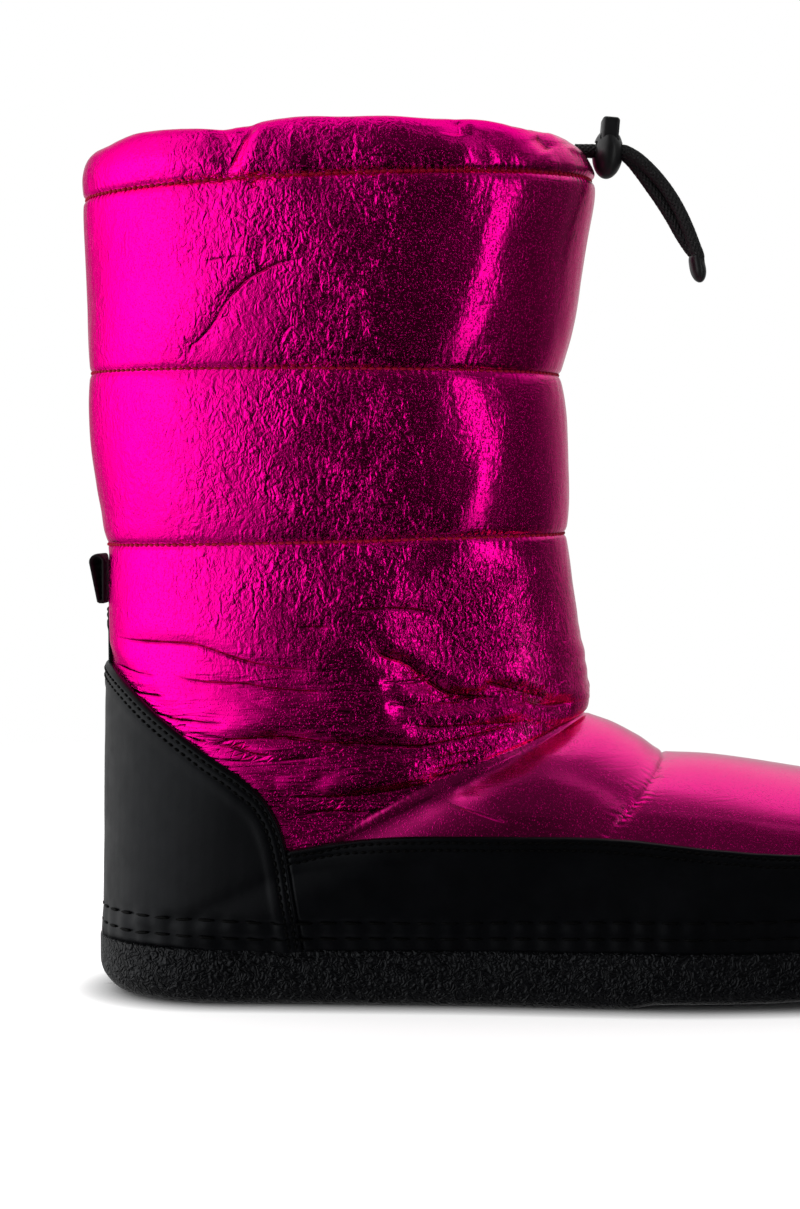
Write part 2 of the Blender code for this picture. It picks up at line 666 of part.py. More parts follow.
def make_cord_lock(parts, cutters):
    """The lock's body and button, built upright round the lock's middle and then tilted together."""
    frame = bpy.data.objects.new("cord_lock_frame", None)
    parts.objects.link(frame)
    frame.location = (LOCK_X * MM, 0.0, LOCK_Z * MM)
    frame.rotation_euler.y = LOCK_TILT
    half_x, half_y = (size / 2 for size in BUTTON_SIZE)
    half_window = (CORD_SPACING + CORD_DIAMETER) / 2 + SLOT_CLEARANCE
    cord_low = CORD_HEIGHT - LOCK_Z - CORD_DIAMETER / 2 - TUNNEL_CLEARANCE
    cord_high = CORD_HEIGHT - LOCK_Z + CORD_DIAMETER / 2 + TUNNEL_CLEARANCE

    body = egg("cord_lock_body", LOCK_HALF, "black_plastic", parts)
    bore = rounded_box(
        "button_bore",
        (-half_x - BUTTON_CLEARANCE, -half_y - BUTTON_CLEARANCE, BUTTON_FOOT - BUTTON_TRAVEL - BUTTON_CLEARANCE),
        (half_x + BUTTON_CLEARANCE, half_y + BUTTON_CLEARANCE, 2 * BUTTON_TOP),
        BUTTON_ROUND, None, cutters,
    )
    tunnel = rounded_box(
        "cord_tunnel",
        (-2 * LOCK_HALF[0], -half_window, cord_low),
        (2 * LOCK_HALF[0], half_window, cord_high),
        CORD_DIAMETER / 4, None, cutters,
    )
    button = rounded_box(
        "cord_lock_button", (-half_x, -half_y, BUTTON_FOOT), (half_x, half_y, BUTTON_TOP),
        BUTTON_ROUND, "black_plastic", parts,
    )
    window = rounded_box(
        "button_window",
        (-2 * half_x, -half_window, BUTTON_FOOT - BELOW),
        (2 * half_x, half_window, cord_high + BUTTON_TRAVEL),
        0, None, cutters,
    )
    for obj in (body, bore, tunnel, button, window):
        obj.parent = frame
    for cutter in (bore, tunnel):
        cut(body, as_cutter(cutter), "DIFFERENCE")
    cut(button, as_cutter(window), "DIFFERENCE")
    return frame


def stand_on_origin(parts, cutters, own):
    """Hangs everything on one empty, moved so that the middle of the boot's own box is over the origin."""
    bpy.context.view_layer.update()
    graph = bpy.context.evaluated_depsgraph_get()
    corners = []
    for obj in own:
        evaluated = obj.evaluated_get(graph)
        corners += [evaluated.matrix_world @ vertex.co for vertex in evaluated.data.vertices]
    corners = np.array(corners)
    low, high = corners.min(axis=0), corners.max(axis=0)
    origin = bpy.data.objects.new("boot_frame", None)
    for obj in list(parts.objects) + list(cutters.objects):
        if obj.parent is None:
            obj.parent = origin
    parts.objects.link(origin)
    origin.location = (-(low[0] + high[0]) / 2, -(low[1] + high[1]) / 2, -low[2])


def main():
    clear_scene()
    parts = new_collection("Lined bootie")
    cutters = new_collection("Cutters")
    own = [
        make_outsole(parts, cutters),
        make_insole(parts),
        make_upper(parts, cutters),
        make_counter(parts, cutters),
        make_rand(parts, cutters),
        make_backstay(parts, cutters),
        make_pull_loop(parts),
    ]
    make_drawcord(parts)
    make_drawcord_tip(parts)
    make_cord_lock(parts, cutters)
    stand_on_origin(parts, cutters, own)


main()
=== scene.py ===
"""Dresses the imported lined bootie: quilted foil upper, fleece lining, overlays, pebbled sole, drawcord
and stitching.

Sizes are in millimetres, with X measured from the back of the sole, until a mesh is made in the frame's
metres.
"""

import math

import bmesh
import bpy
import numpy as np
from mathutils import Euler, Matrix, Vector
from mathutils.bvhtree import BVHTree


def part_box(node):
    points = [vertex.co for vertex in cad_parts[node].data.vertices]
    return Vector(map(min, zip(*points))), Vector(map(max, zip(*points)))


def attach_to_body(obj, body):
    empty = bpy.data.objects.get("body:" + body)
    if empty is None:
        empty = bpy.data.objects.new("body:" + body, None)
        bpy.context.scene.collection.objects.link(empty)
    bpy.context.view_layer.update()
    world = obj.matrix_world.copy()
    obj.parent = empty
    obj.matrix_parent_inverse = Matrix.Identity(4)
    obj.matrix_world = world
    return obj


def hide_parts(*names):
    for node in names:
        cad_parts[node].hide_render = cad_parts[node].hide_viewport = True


bl_info = {
    "name": "Lined Bootie",
    "version": (1, 0, 0),
    "blender": (4, 5, 0),
    "location": "View3D > Sidebar > Bootie",
    "description": "Builds the visible pieces of a padded foil bootie around its packed model",
    "category": "Add Mesh",
}

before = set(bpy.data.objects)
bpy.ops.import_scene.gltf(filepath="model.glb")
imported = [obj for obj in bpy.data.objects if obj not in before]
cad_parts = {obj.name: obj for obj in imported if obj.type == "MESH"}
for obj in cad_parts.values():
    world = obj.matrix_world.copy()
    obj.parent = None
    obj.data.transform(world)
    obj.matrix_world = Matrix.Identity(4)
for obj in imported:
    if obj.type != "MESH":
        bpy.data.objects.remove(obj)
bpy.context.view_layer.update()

MM = 0.001
BOOT, LOCK_BUTTON = "boot", "lock_button"
LATERAL, MEDIAL = -1, 1
HEEL_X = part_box("outsole")[0].x / MM
MIDDLE_Y = (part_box("backstay")[0].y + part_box("backstay")[1].y) / 2 / MM
WELD = 0.01
SEED, NOISE_CELLS, NOISE_SCALE = 7, 256, 1.5
CLOTH_MAP = "Cloth"

# Sole
SOLE_LENGTH, SOLE_HEIGHT = 285.0, 18.0
TOE_SPRING, SPRING_START = 8.0, 190.0
TOE_TURN, TURN_START = 6.0, 150.0
HEEL_ROUND, HEEL_POWER = 40.0, 2.3
TOE_ROUND, TOE_POWER = 84.0, 2.3
FOREFOOT_LIFT, LIFT_START, LIFT_END = 1.5, 162.0, 171.0
FEATHER_GAP = 0.3
GROOVE_WIDTH, GROOVE_DEPTH, GROOVE_SLOPE, GROOVE_ENDS = 4.0, 2.2, 0.4, 0.06
GROOVES = (26.0, 42.0, 58.0, 74.0, 146.0, 160.0, 178.0, 192.0, 206.0, 220.0, 234.0)
SOLE_STATIONS, SOLE_ACROSS, SOLE_SUBDIVISIONS, STATION_GAP = 120, 16, 3, 0.3

# Half widths of the sole to either side of its centre line: station, lateral, medial
OUTLINE = (
    (0.0, 38.5, 38.0),
    (40.0, 39.5, 38.5),
    (75.0, 41.0, 37.0),
    (110.0, 43.0, 35.5),
    (150.0, 47.5, 40.0),
    (185.0, 51.0, 48.0),
    (215.0, 51.0, 51.0),
    (250.0, 49.0, 51.0),
    (285.0, 47.0, 49.0),
)

# The sole's side from its top edge down and under: inset from the outline, height, share of the lift
# under the forefoot
SOLE_SIDE = (
    (0.9, 18.0, 0.0),
    (0.0, 17.0, 0.0),
    (0.0, 10.0, 0.0),
    (0.6, 6.8, 0.0),
    (2.1, 4.2, 0.2),
    (4.6, 1.6, 0.6),
    (8.2, 0.0, 1.0),
    (12.0, 0.0, 1.0),
    (13.6, 0.0, 0.0),
)

# Upper
UPPER_INSET, WIDTH_BLEND, TRIM = 2.6, 6, 0.9
PUFF_POWER, INSTEP_POWER, COVER_FADE = 4, 2, 9.0

# Sections of the upper, each a plane across the boot: front point, end point (its rise is above the
# feather edge), half width, share of the way back at which it is widest, roundness before and behind
SECTIONS = (
    # front_x, front_z, end_x, end_rise, half_width, widest, front_round, back_round
    (282.4, 26.9, 282.2, 0.0, 0.0, 0.90, 2.0, 2.0),
    (281.8, 34.5, 277.5, 0.0, 0.0, 0.60, 2.0, 2.0),
    (278.0, 43.5, 267.0, 0.0, 4.0, 0.62, 2.0, 2.0),
    (270.0, 51.5, 253.0, 0.0, 10.0, 0.64, 2.0, 2.0),
    (259.0, 57.5, 238.0, 0.0, 18.0, 0.66, 2.0, 2.0),
    (246.0, 61.8, 222.0, 0.0, 26.0, 0.67, 2.0, 2.0),
    (232.0, 65.0, 205.0, 0.0, 30.0, 0.68, 2.0, 2.0),
    (218.0, 67.6, 187.0, 0.0, 32.0, 0.68, 2.0, 2.0),
    (204.0, 70.0, 166.0, 0.0, 34.0, 0.66, 2.0, 2.0),
    (190.0, 72.0, 143.0, 0.0, 36.0, 0.64, 2.0, 2.0),
    (176.5, 73.4, 121.5, 0.0, 38.0, 0.60, 2.0, 2.0),
    (168.0, 78.2, 92.0, 0.0, 40.0, 0.56, 2.0, 2.1),
    (160.0, 82.4, 55.0, 0.0, 42.0, 0.52, 2.0, 2.3),
    (151.8, 86.0, 2.6, 0.0, 43.0, 0.50, 2.0, 2.5),
    (151.8, 88.5, 3.4, 20.0, 43.5, 0.50, 2.0, 2.5),
    (151.4, 92.5, 3.6, 43.0, 44.0, 0.50, 2.0, 2.4),
    (150.4, 98.5, 3.9, 66.0, 44.5, 0.50, 2.0, 2.3),
    (148.8, 109.0, 4.3, 89.0, 45.5, 0.50, 2.1, 2.2),
    (147.0, 124.0, 4.0, 105.0, 46.5, 0.50, 2.1, 2.2),
    (145.6, 142.0, 2.8, 120.2, 47.5, 0.50, 2.1, 2.1),
    (144.6, 158.0, 0.0, 138.0, 49.0, 0.50, 2.1, 2.1),
    (144.0, 174.0, -2.0, 155.5, 50.5, 0.50, 2.1, 2.1),
    (143.6, 190.8, -2.6, 173.0, 51.5, 0.50, 2.1, 2.1),
    (146.3, 210.0, -2.6, 191.0, 52.6, 0.50, 2.1, 2.1),
    (149.6, 230.0, -3.0, 208.5, 53.6, 0.50, 2.1, 2.1),
    (153.6, 250.6, -4.2, 226.0, 54.5, 0.50, 2.1, 2.1),
    (152.2, 255.4, -4.4, 232.6, 54.5, 0.50, 2.1, 2.1),
    (149.8, 260.4, -3.2, 239.4, 53.0, 0.50, 2.1, 2.1),
    (146.6, 263.8, 0.4, 243.8, 49.8, 0.50, 2.1, 2.1),
    (142.4, 265.6, 5.0, 246.0, 45.6, 0.50, 2.1, 2.1),
)

# Padded panels between seams, as rows of SECTIONS: first row, last row, swelling, crumpling, and the steps
# of the foil and of the lining
PANELS = (
    (0, 10, 1.1, 0.12, 50, 20),
    (10, 13, 0.6, 0.15, 36, 16),
    (13, 19, 1.8, 1.0, 120, 24),
    (19, 22, 1.9, 1.0, 34, 12),
    (22, 25, 2.2, 1.0, 48, 14),
    (25, 29, 1.0, 0.9, 32, 12),
)
CRUMPLING, FOIL_STEPS, LINING_STEPS = 3, 4, 5
FOIL_COLUMNS, LINING_COLUMNS, ROW_CROWD = 136, 48, 0.4
INNER_ROWS, INNER_COLUMNS = 2, 4
FOIL_WALL, LEAST_WALL = 2.6, 0.4
LINING_TOP, LINING_OUTER, LINING_INNER = 27.4, -2.9, -5.2
PILE, PILE_SIZE = 0.35, (4.0, 5.0, 4.0)

# Seams of the foil: row of SECTIONS, groove depth and width, gathers' depth below and above, their reach
# and pitch, and the depth of the puckers between stitches
SEAMS = (
    (10, 0.8, 0.9, 0.05, 0.06, 5.0, 4.5, 0.16),
    (13, 0.7, 0.8, 0.05, 0.15, 8.0, 9.0, 0.04),
    (19, 0.7, 0.9, 0.08, 0.08, 6.0, 5.5, 0.07),
    (22, 0.7, 0.9, 0.08, 0.08, 7.0, 5.5, 0.07),
    (25, 0.9, 1.0, 0.20, 0.45, 9.0, 7.0, 0.12),
)
PUCKER_PITCH, PUCKER_REACH, PUCKER_STRAY = 2.3, 2.2, 9.0
PLEAT_LENGTH, PLEAT_SHIFT, SEWN_FLAT = 70.0, 10.0, 0.5
SEAM_EASE = 0.15
ANKLE_ROW, COLLAR_ROW, RIM_ROW = 13, 25, 29
QUILT_ROWS = (19, 22, 25)

# The rim falls towards front and back, dips once at a station over a reach, and waves
RIM_DROP, RIM_POWER = 3.0, 2.5
RIM_DIP, DIP_STATION, DIP_REACH = 1.5, 46.0, 20.0
RIM_WAVE, RIM_WAVE_SIZE = 0.6, 17.0

# The shaft's back swells by a share only, behind these stations and above these heights. Both ends of a
# row meet at the back, and are made to agree over BACK_BLEND
BACK_SWELL, BACK_STATIONS, BACK_HEIGHTS = 0.35, (2.0, 32.0), (138.0, 150.0)
BACK_BLEND = 14.0

# How far below, above and beside the backstay it holds the foil down
HELD_BELOW, HELD_ABOVE, HELD_BESIDE = 8.0, (24.0, 16.0), (5.0, 1.0)

# Folds of the foil as they are seen from a side: depth of the fold, depth of the crease along it (which
# also sets how dark the shade painted into that crease is), then its points (x, z)
FOLDS = (
    # Thin creases behind the ankle
    (0.25, 0.40, ((4.9, 111.1), (8.4, 110.3), (18.6, 109.7), (31.2, 109.6), (40.4, 107.2), (50.9, 104.1),
                  (59.8, 102.7), (74.6, 101.8))),
    (0.20, 0.30, ((7.2, 101.7), (11.1, 101.0), (15.2, 99.9), (21.7, 99.4))),
    (0.30, 0.40, ((24.9, 100.7), (28.7, 99.1), (37.3, 98.1), (46.4, 98.0), (58.3, 96.4), (74.6, 95.6))),
    (0.25, 0.35, ((11.9, 95.2), (15.0, 93.7), (23.3, 93.4))),
    (0.25, 0.35, ((19.3, 88.5), (27.9, 86.4), (38.8, 86.0), (43.3, 85.8))),
    (0.50, 0.40, ((28.5, 82.1), (34.0, 80.3), (43.3, 79.2), (51.7, 76.7), (58.2, 76.2))),
    # Deep folds across the ankle
    (1.10, 0.45, ((35.6, 80.4), (46.3, 81.4), (58.2, 82.1), (76.0, 80.1), (90.8, 79.7), (98.2, 79.0),
                  (110.1, 80.5), (125.2, 83.3), (137.6, 84.6))),
    (0.50, 0.25, ((38.6, 75.0), (50.8, 74.6), (64.2, 75.6), (73.0, 76.6))),
    (0.60, 0.00, ((42.5, 73.6), (52.8, 71.6), (65.6, 71.8), (77.5, 70.6))),
    (0.40, 0.00, ((46.8, 71.7), (52.2, 70.4), (59.7, 70.5))),
    (0.70, 0.00, ((49.8, 68.4), (61.2, 66.7), (71.5, 67.3))),
    (1.00, 0.30, ((51.5, 64.9), (62.6, 64.0), (77.5, 64.3), (92.3, 65.9), (107.2, 69.1))),
    (0.70, 0.35, ((62.9, 58.9), (73.0, 59.8), (86.3, 59.3))),
    # Folds in front of the ankle
    (1.40, 0.45, ((83.7, 114.0), (87.9, 106.8), (95.2, 104.1), (103.2, 98.0), (111.0, 94.0), (119.1, 93.4),
                  (127.3, 93.1))),
    (0.80, 0.35, ((118.5, 98.2), (128.3, 95.5), (137.6, 92.2))),
    (0.80, 0.35, ((130.4, 93.5), (138.6, 90.0), (146.4, 90.3))),
    (0.50, 0.25, ((87.8, 98.5), (95.2, 98.2), (101.7, 98.1))),
    (0.80, 0.30, ((89.0, 92.9), (99.1, 90.6), (110.1, 92.2), (117.0, 92.0))),
    (0.80, 0.30, ((93.2, 85.7), (105.6, 84.6), (120.6, 85.0), (136.1, 85.4))),
    (0.50, 0.25, ((101.2, 74.5), (110.1, 76.3), (119.2, 77.2))),
    (0.50, 0.25, ((104.2, 71.7), (116.2, 74.0))),
    (0.40, 0.25, ((102.1, 69.3), (111.7, 70.8))),
    (0.25, 0.30, ((77.6, 119.9), (89.3, 120.4), (105.6, 118.8))),
    (0.20, 0.30, ((63.4, 115.1), (74.6, 114.9))),
    (0.10, 0.30, ((108.0, 62.4), (117.5, 59.4), (126.4, 56.4))),
    # Creases of the shaft
    (0.20, 0.42, ((31.3, 191.9), (32.4, 197.1), (36.0, 200.0), (39.7, 204.2), (43.6, 210.5), (50.1, 217.1),
                  (54.0, 219.3), (59.8, 221.6), (68.3, 223.0))),
    (0.12, 0.28, ((52.8, 219.3), (53.7, 222.8), (54.6, 229.4))),
    (0.10, 0.28, ((59.1, 197.7), (60.0, 201.4), (63.5, 203.7))),
    (0.08, 0.22, ((37.1, 222.0), (41.9, 223.0), (48.7, 223.4))),
    # Gathers of the collar
    (1.70, 0.40, ((50.4, 264.5), (49.2, 261.3), (46.7, 255.6), (44.9, 251.3), (43.7, 247.9))),
    (0.90, 0.30, ((41.6, 264.0), (42.7, 261.0), (44.3, 257.2), (45.2, 254.2))),
    (0.60, 0.25, ((110.7, 264.5), (111.0, 259.0))),
    (0.70, 0.25, ((134.2, 262.5), (138.7, 257.2))),
    (0.40, 0.25, ((50.2, 243.6), (51.6, 246.6))),
)
FOLD_SCALE, FOLD_WIDTH, FOLD_REACH, FOLD_STEP = 2.6, 2.4, 6, 3.0
FOLD_TAPER, FOLD_ENDS, FOLD_LEAN, FOLD_LIP = 0.22, 0.15, 0.7, 2.2
# Creases: their scale, width and fade, and the share of the foil's colour kept where shade is painted into
# them
CREASE_SCALE, CREASE_WIDTH, CREASE_FADE, PAINTED_CREASE_SHADE = 1.6, 0.45, (0.9, 1.6), 0.12
MEDIAL_FOLDS, MEDIAL_SHIFT = 0.7, 9.0

# Flattened padding before the ankle: depth, stations over which it deepens from behind and from the front,
# height of its middle and reach
HOLLOW_DEPTH, HOLLOW_BACK, HOLLOW_FRONT = 6.0, (83.0, 107.0), (152.0, 107.0)
HOLLOW_HEIGHT, HOLLOW_REACH = 112.0, 24.0

# The ankle seam is raised at the boot's sides: by rows, round a station over a reach, between rows
SEAM_LIFT, RAISED_STATION, RAISED_REACH = 0.56, 105.0, 36.0
RAISED_FROM, RAISED_TO = (10.4, 13.0), (18.0, 14.0)

# Relief of the foil: soft dents, upright crumples of the shaft, level ones and bands of the ankle, each
# with its size round and up the boot
DENT_DEPTH, DENT_LEAST, DENT_SIZE = 0.45, 0.3, (44.0, 36.0)
UPRIGHT_SIZE, LEVEL_SIZE, BAND_SIZE = (7.0, 15.0), (28.0, 6.4), (46.0, 10.0)
LEVEL_DEPTH, BAND_DEPTH, RIDGE_ROUND = 3.2, 0.7, 0.08

# Zones of the foil, from where each begins to where it is full: stations, then a height, then rows
HEEL_ZONE, FRONT_ZONE, SHINE_ZONE, EDGE_ZONE = (14.0, 44.0), (84.0, 110.0), (126.0, 142.0), (130.0, 140.0)
LOW_ZONE = (142.0, 128.0)
ANKLE_ROWS, SHAFT_ROWS, VAMP_ROWS = (18.0, 15.8), (13.0, 13.4), (13.1, 12.9)

# Fine crinkles of the foil: their strength at the heel, what the front loses and its edge gains, then at
# the low front and the ankle, how level they lie, and their sizes, depths and stretch
SLACK_HEEL, SLACK_FRONT, SLACK_EDGE, SLACK_LOW, SLACK_ANKLE = 0.4, 0.62, 0.25, 1.1, 0.75
LEVEL_FRONT, LEVEL_LOW = 0.6, 0.75
CRINKLE_SIZES, CRINKLE_DEPTHS = (2.7, 1.2), (1.15, 0.42)
UPRIGHT_STRETCH, LEVEL_STRETCH = (1.0, 1.0, 0.7), (0.14, 0.14, 1.0)

# Gloss of the foil where it lies smooth, and the tints of reflections at the foil's edge and on the black
VAMP_GLOSS, FRONT_GLOSS, GLOSS_BLUR = 0.9, 0.7, 0.1
FOIL_EDGE, COOL = (1.0, 0.35, 0.6, 1.0), (0.9, 0.94, 1.0, 1.0)

# Overlays, drawn from the side
OVERLAY_GAP = 0.3
COUNTER_WALL, RAND_WALL, BACKSTAY_WALL = 1.9, 1.5, 1.2
BACKSTAY_WIDTH, BACKSTAY_FOOT, BACKSTAY_TOP = 11.0, 100.0, 119.4
EDGE_ROUND, EDGE_BEAD, BEAD_ENDS, EDGE_LEAST = 1.3, 0.35, (8.0, 6.0), 0.02
SCALLOP_PITCH, SCALLOP_DEPTH, SCALLOP_DROP, SCALLOP_REACH = 7.2, 0.45, 1.2, 2.2
STITCH_LINES, STITCH_SINK, STITCH_FOOT = (1.8, 3.9), (0.3, 0.5), 1.5
SOLE_LINES, SOLE_SINK = (3.8, 8.8), (0.55, 0.7)
OVERLAY_ROWS, ROW_POWER, OVERLAY_COLUMNS, BACKSTAY_COLUMNS = 54, 1.8, 240, 24
OVERLAY_DENT, OVERLAY_DENT_SIZE, DENT_EDGE = 0.22, (23.0, 17.0), 6.0
EDGE_STEP, HEEL_NEAR = 0.8, 0.2
RAND_START, RAND_GUESS, RAND_ROUNDS = 1.2, 30.0, 4

# Stitches: length, thickness and lift off the face they lie on
QUILT_STITCH, EDGE_STITCH, SOLE_STITCH = (2.3, 1.0, 0.15), (1.9, 0.8, -0.1), (5.6, 1.0, -0.4)

# Edges of the counter and the rand seen from the side: x, z
COUNTER_EDGE = (
    (2.0, 104.0),
    (10.0, 97.4),
    (20.0, 88.6),
    (37.5, 75.8),
    (47.5, 69.2),
    (54.5, 62.4),
    (59.0, 53.0),
    (61.8, 39.0),
    (64.8, 18.3),
)
RAND_TOP = (
    (59.0, 48.3),
    (80.0, 51.4),
    (106.0, 52.8),
    (141.0, 52.2),
    (160.0, 51.0),
    (186.0, 48.2),
    (212.0, 46.4),
    (240.0, 46.0),
    (285.0, 49.0),
)

# The plan on which overlays are laid out: steps of the panels, columns, stations and the levels of its rise
PLAN_STEPS = (44, 36, 40, 8, 8, 4)
PLAN_COLUMNS, PLAN_STATIONS = 48, 600
PLAN_SPINE = (50.0, 226.0)
RISE_LOW, RISE_TOP, RISE_STEP = -0.4, 106.0, 1.6

# Pull loop
LOOP_STRAP, BEND_POINTS, LOOP_POINTS, LOOP_AROUND = 1.3, 13, 97, 32
LOOP_FOOT_DEPTH, LOOP_TWIST = 2.9, 0.75
STRAP_POWERS = (0.4, 0.55)

# Footbed
FOOTBED_INSET, FOOTBED_HEIGHT, FOOTBED_BULGE = 9.2, 4.0, 0.3
FOOTBED_CUP, CUP_POWER = 1.2, 3
FOOTBED_STATIONS, FOOTBED_ACROSS = 90, 16

# Drawcord and its lock
CORD_STEP, CORD_AROUND, BRAID_STRANDS, BRAID_PITCH, BRAID_LIFT = 0.3, 48, 8, 3.4, 0.3
CORD_SPACING, CORD_HEIGHT = 3.7, 260.4
SLOT_CLEARANCE, TUNNEL_CLEARANCE = 0.4, 0.8
LOCK_X, LOCK_Z, LOCK_TILT = 158.2, 259.6, math.radians(5.0)
LOCK_HALF = (4.8, 7.2, 7.8)
BUTTON_SIZE, BUTTON_TOP, BUTTON_FOOT = (5.4, 9.8), 11.0, -1.2
BUTTON_ROUND, BUTTON_TRAVEL, BUTTON_CLEARANCE = 1.1, 2.4, 0.3
BORE_SEGMENTS, BUTTON_SEGMENTS = 4, 5
TIP_HALF, TIP_RISE, TIP_TILT = (2.5, 4.2, 4.4), -0.9, math.radians(-12.0)
TIP_CUP, CORD_CLOSE, CORD_PINCH = 0.75, 0.3, 0.9
SHARP_ANGLE = math.radians(40.0)

# Routes of the two cord ends, from inside the collar through the lock to the end sleeve: x, y, z
CORD_ROUTES = {
    "drawcord_lateral": (
        (147.9, -1.85, 260.4),
        (153.0, -1.85, 260.4),
        (158.0, -1.85, 260.4),
        (162.6, -1.85, 260.3),
        (166.4, -1.85, 258.8),
        (170.4, -1.7, 255.9),
        (174.4, -1.4, 252.0),
        (178.0, -1.2, 247.3),
        (181.0, -1.2, 242.0),
        (183.4, -1.3, 236.4),
        (185.3, -1.6, 230.8),
        (186.3, -1.8, 227.6),
        (186.4, -1.85, 225.0),
    ),
    "drawcord_medial": (
        (147.9, 1.85, 260.4),
        (153.0, 1.85, 260.4),
        (158.0, 1.85, 260.4),
        (162.2, 1.85, 260.1),
        (165.0, 1.85, 258.0),
        (167.9, 1.7, 254.2),
        (171.0, 1.4, 249.6),
        (174.4, 1.2, 244.7),
        (177.8, 1.2, 239.6),
        (181.0, 1.3, 234.4),
        (184.0, 1.6, 230.4),
        (186.2, 1.8, 227.6),
        (186.4, 1.85, 225.0),
    ),
}

# Camera: place, tilt below the horizon, and focal length in pixels of the 800 by 1209 frame
CAMERA_PLACE = (93.75, -850.0, 158.4)
CAMERA_TILT = math.radians(2.62)
FOCAL_PIXELS, FRAME_HEIGHT, SENSOR = 2720.0, 1209.0, 36.0

# Soft light all round, as radiance at degrees from the front: a broad softbox at the left, a narrow strip
# at the right and a pale backdrop. Over LOW_LIGHT the second column holds, and over HIGH_LIGHT the dim
# ceiling. Below UNDER_LIGHT the first column dims
STUDIO = (
    # degrees, near the horizon, higher up
    (-180.0, 0.60, 0.95),
    (-150.0, 0.45, 0.80),
    (-130.0, 0.85, 1.00),
    (-105.0, 1.80, 1.25),
    (-85.0, 2.00, 1.25),
    (-62.0, 1.80, 1.05),
    (-46.0, 1.26, 0.9),
    (-32.0, 0.58, 0.54),
    (-18.0, 0.17, 0.18),
    (-7.0, 0.06, 0.07),
    (2.0, 0.02, 0.05),
    (30.0, 0.02, 0.05),
    (51.0, 0.05, 0.07),
    (55.0, 1.80, 0.60),
    (60.0, 1.80, 0.60),
    (65.0, 0.06, 0.06),
    (90.0, 0.04, 0.20),
    (105.0, 0.06, 0.50),
    (120.0, 0.12, 0.80),
    (135.0, 0.28, 0.95),
    (155.0, 0.50, 0.95),
    (180.0, 0.60, 0.95),
)
LOW_LIGHT, HIGH_LIGHT, UNDER_LIGHT = (12.0, 30.0), (70.0, 80.0), (-6.0, -46.0)
CEILING, UNDERNEATH, STUDIO_SCALE = 0.13, 0.15, 2.0
# The floor: its glow, colour and roughness, its size and fade, and how far and how hard its glow is
# darkened close under the sole as a painted contact shadow
FLOOR_GLOW, FLOOR_WHITE, FLOOR_ROUGHNESS = 0.66, 0.9, 0.9
FLOOR_RADIUS, FLOOR_FADE = 0.9, (0.45, 0.95)
CONTACT_SHADOW_REACH, CONTACT_SHADOW_POWER = 0.011, 2.0


# Shape of the boot, as its solids have it

def smooth_rows(knots, rows, at):
    """The rows of a table read between its knots by a monotone cubic, so that no column overshoots."""
    knots = np.asarray(knots, float)
    rows = np.asarray(rows, float)
    steps = np.diff(knots)[:, None]
    slopes = np.diff(rows, axis=0) / steps
    before, after = slopes[:-1], slopes[1:]
    same_way = before * after > 0
    total = np.where(same_way, before + after, 1.0)
    tangents = np.vstack([slopes[:1], np.where(same_way, 2 * before * after / total, 0.0), slopes[-1:]])
    at = np.clip(np.asarray(at, float), knots[0], knots[-1])
    span = np.clip(np.searchsorted(knots, at, side="right") - 1, 0, len(steps) - 1)
    length = steps[span]
    share = (at - knots[span])[:, None] / length
    rest = 1 - share
    ends = rows[span] * (1 + 2 * share) * rest**2 + rows[span + 1] * (3 - 2 * share) * share**2
    turns = tangents[span] * share * rest**2 - tangents[span + 1] * share**2 * rest
    return ends + turns * length


def along(table, at):
    """The columns after the first of a table, read at values of its first column."""
    table = np.asarray(table, float)
    at = np.asarray(at, float)
    found = smooth_rows(table[:, 0], table[:, 1:], at.ravel())
    return found.reshape(*at.shape, -1)


def lengths(route):
    """Distance of each point of a route from its first, along the route."""
    return np.concatenate([[0.0], np.cumsum(np.linalg.norm(np.diff(route, axis=0), axis=1))])


def smooth_path(route, step):
    """Points about a step apart on a smooth curve through a route's own points."""
    route = np.asarray(route, float)
    reach = lengths(route)
    return smooth_rows(reach, route, np.linspace(0.0, reach[-1], round(reach[-1] / step) + 1))


def smooth_step(share):
    share = np.clip(share, 0.0, 1.0)
    return share * share * (3 - 2 * share)


def ramp(value, start, end):
    """0 up to a start, rising smoothly to 1 at an end, which may be the lower of the two."""
    return smooth_step((value - start) / (end - start))


def spring(x):
    """How far the sole is raised towards the toe."""
    return TOE_SPRING * (np.maximum(x - SPRING_START, 0.0) / (SOLE_LENGTH - SPRING_START)) ** 2


def centre_line(x):
    return TOE_TURN * ramp(x, TURN_START, SOLE_LENGTH)


def feather_edge(x):
    """Height of the upper's lower edge, just over the sole."""
    return SOLE_HEIGHT + FEATHER_GAP + spring(x)


def half_width(x, side, inset):
    """Half width of the footprint on one side, drawn in by an inset all round."""
    station = np.clip((x - inset) / (SOLE_LENGTH - 2 * inset), 0.0, 1.0) * SOLE_LENGTH
    base = along(OUTLINE, station)[..., 0 if side == LATERAL else 1]
    heel = np.clip(1 - station / HEEL_ROUND, 0.0, 1.0)
    toe = np.clip(1 - (SOLE_LENGTH - station) / TOE_ROUND, 0.0, 1.0)
    ends = (1 - heel**HEEL_POWER) ** (1 / HEEL_POWER) * (1 - toe**TOE_POWER) ** (1 / TOE_POWER)
    return (base - inset) * ends


def cover_height(x):
    """Top of the counter or the rand, whichever lies at this station."""
    return np.maximum(along(COUNTER_EDGE, x)[..., 0], along(RAND_TOP, x)[..., 0])


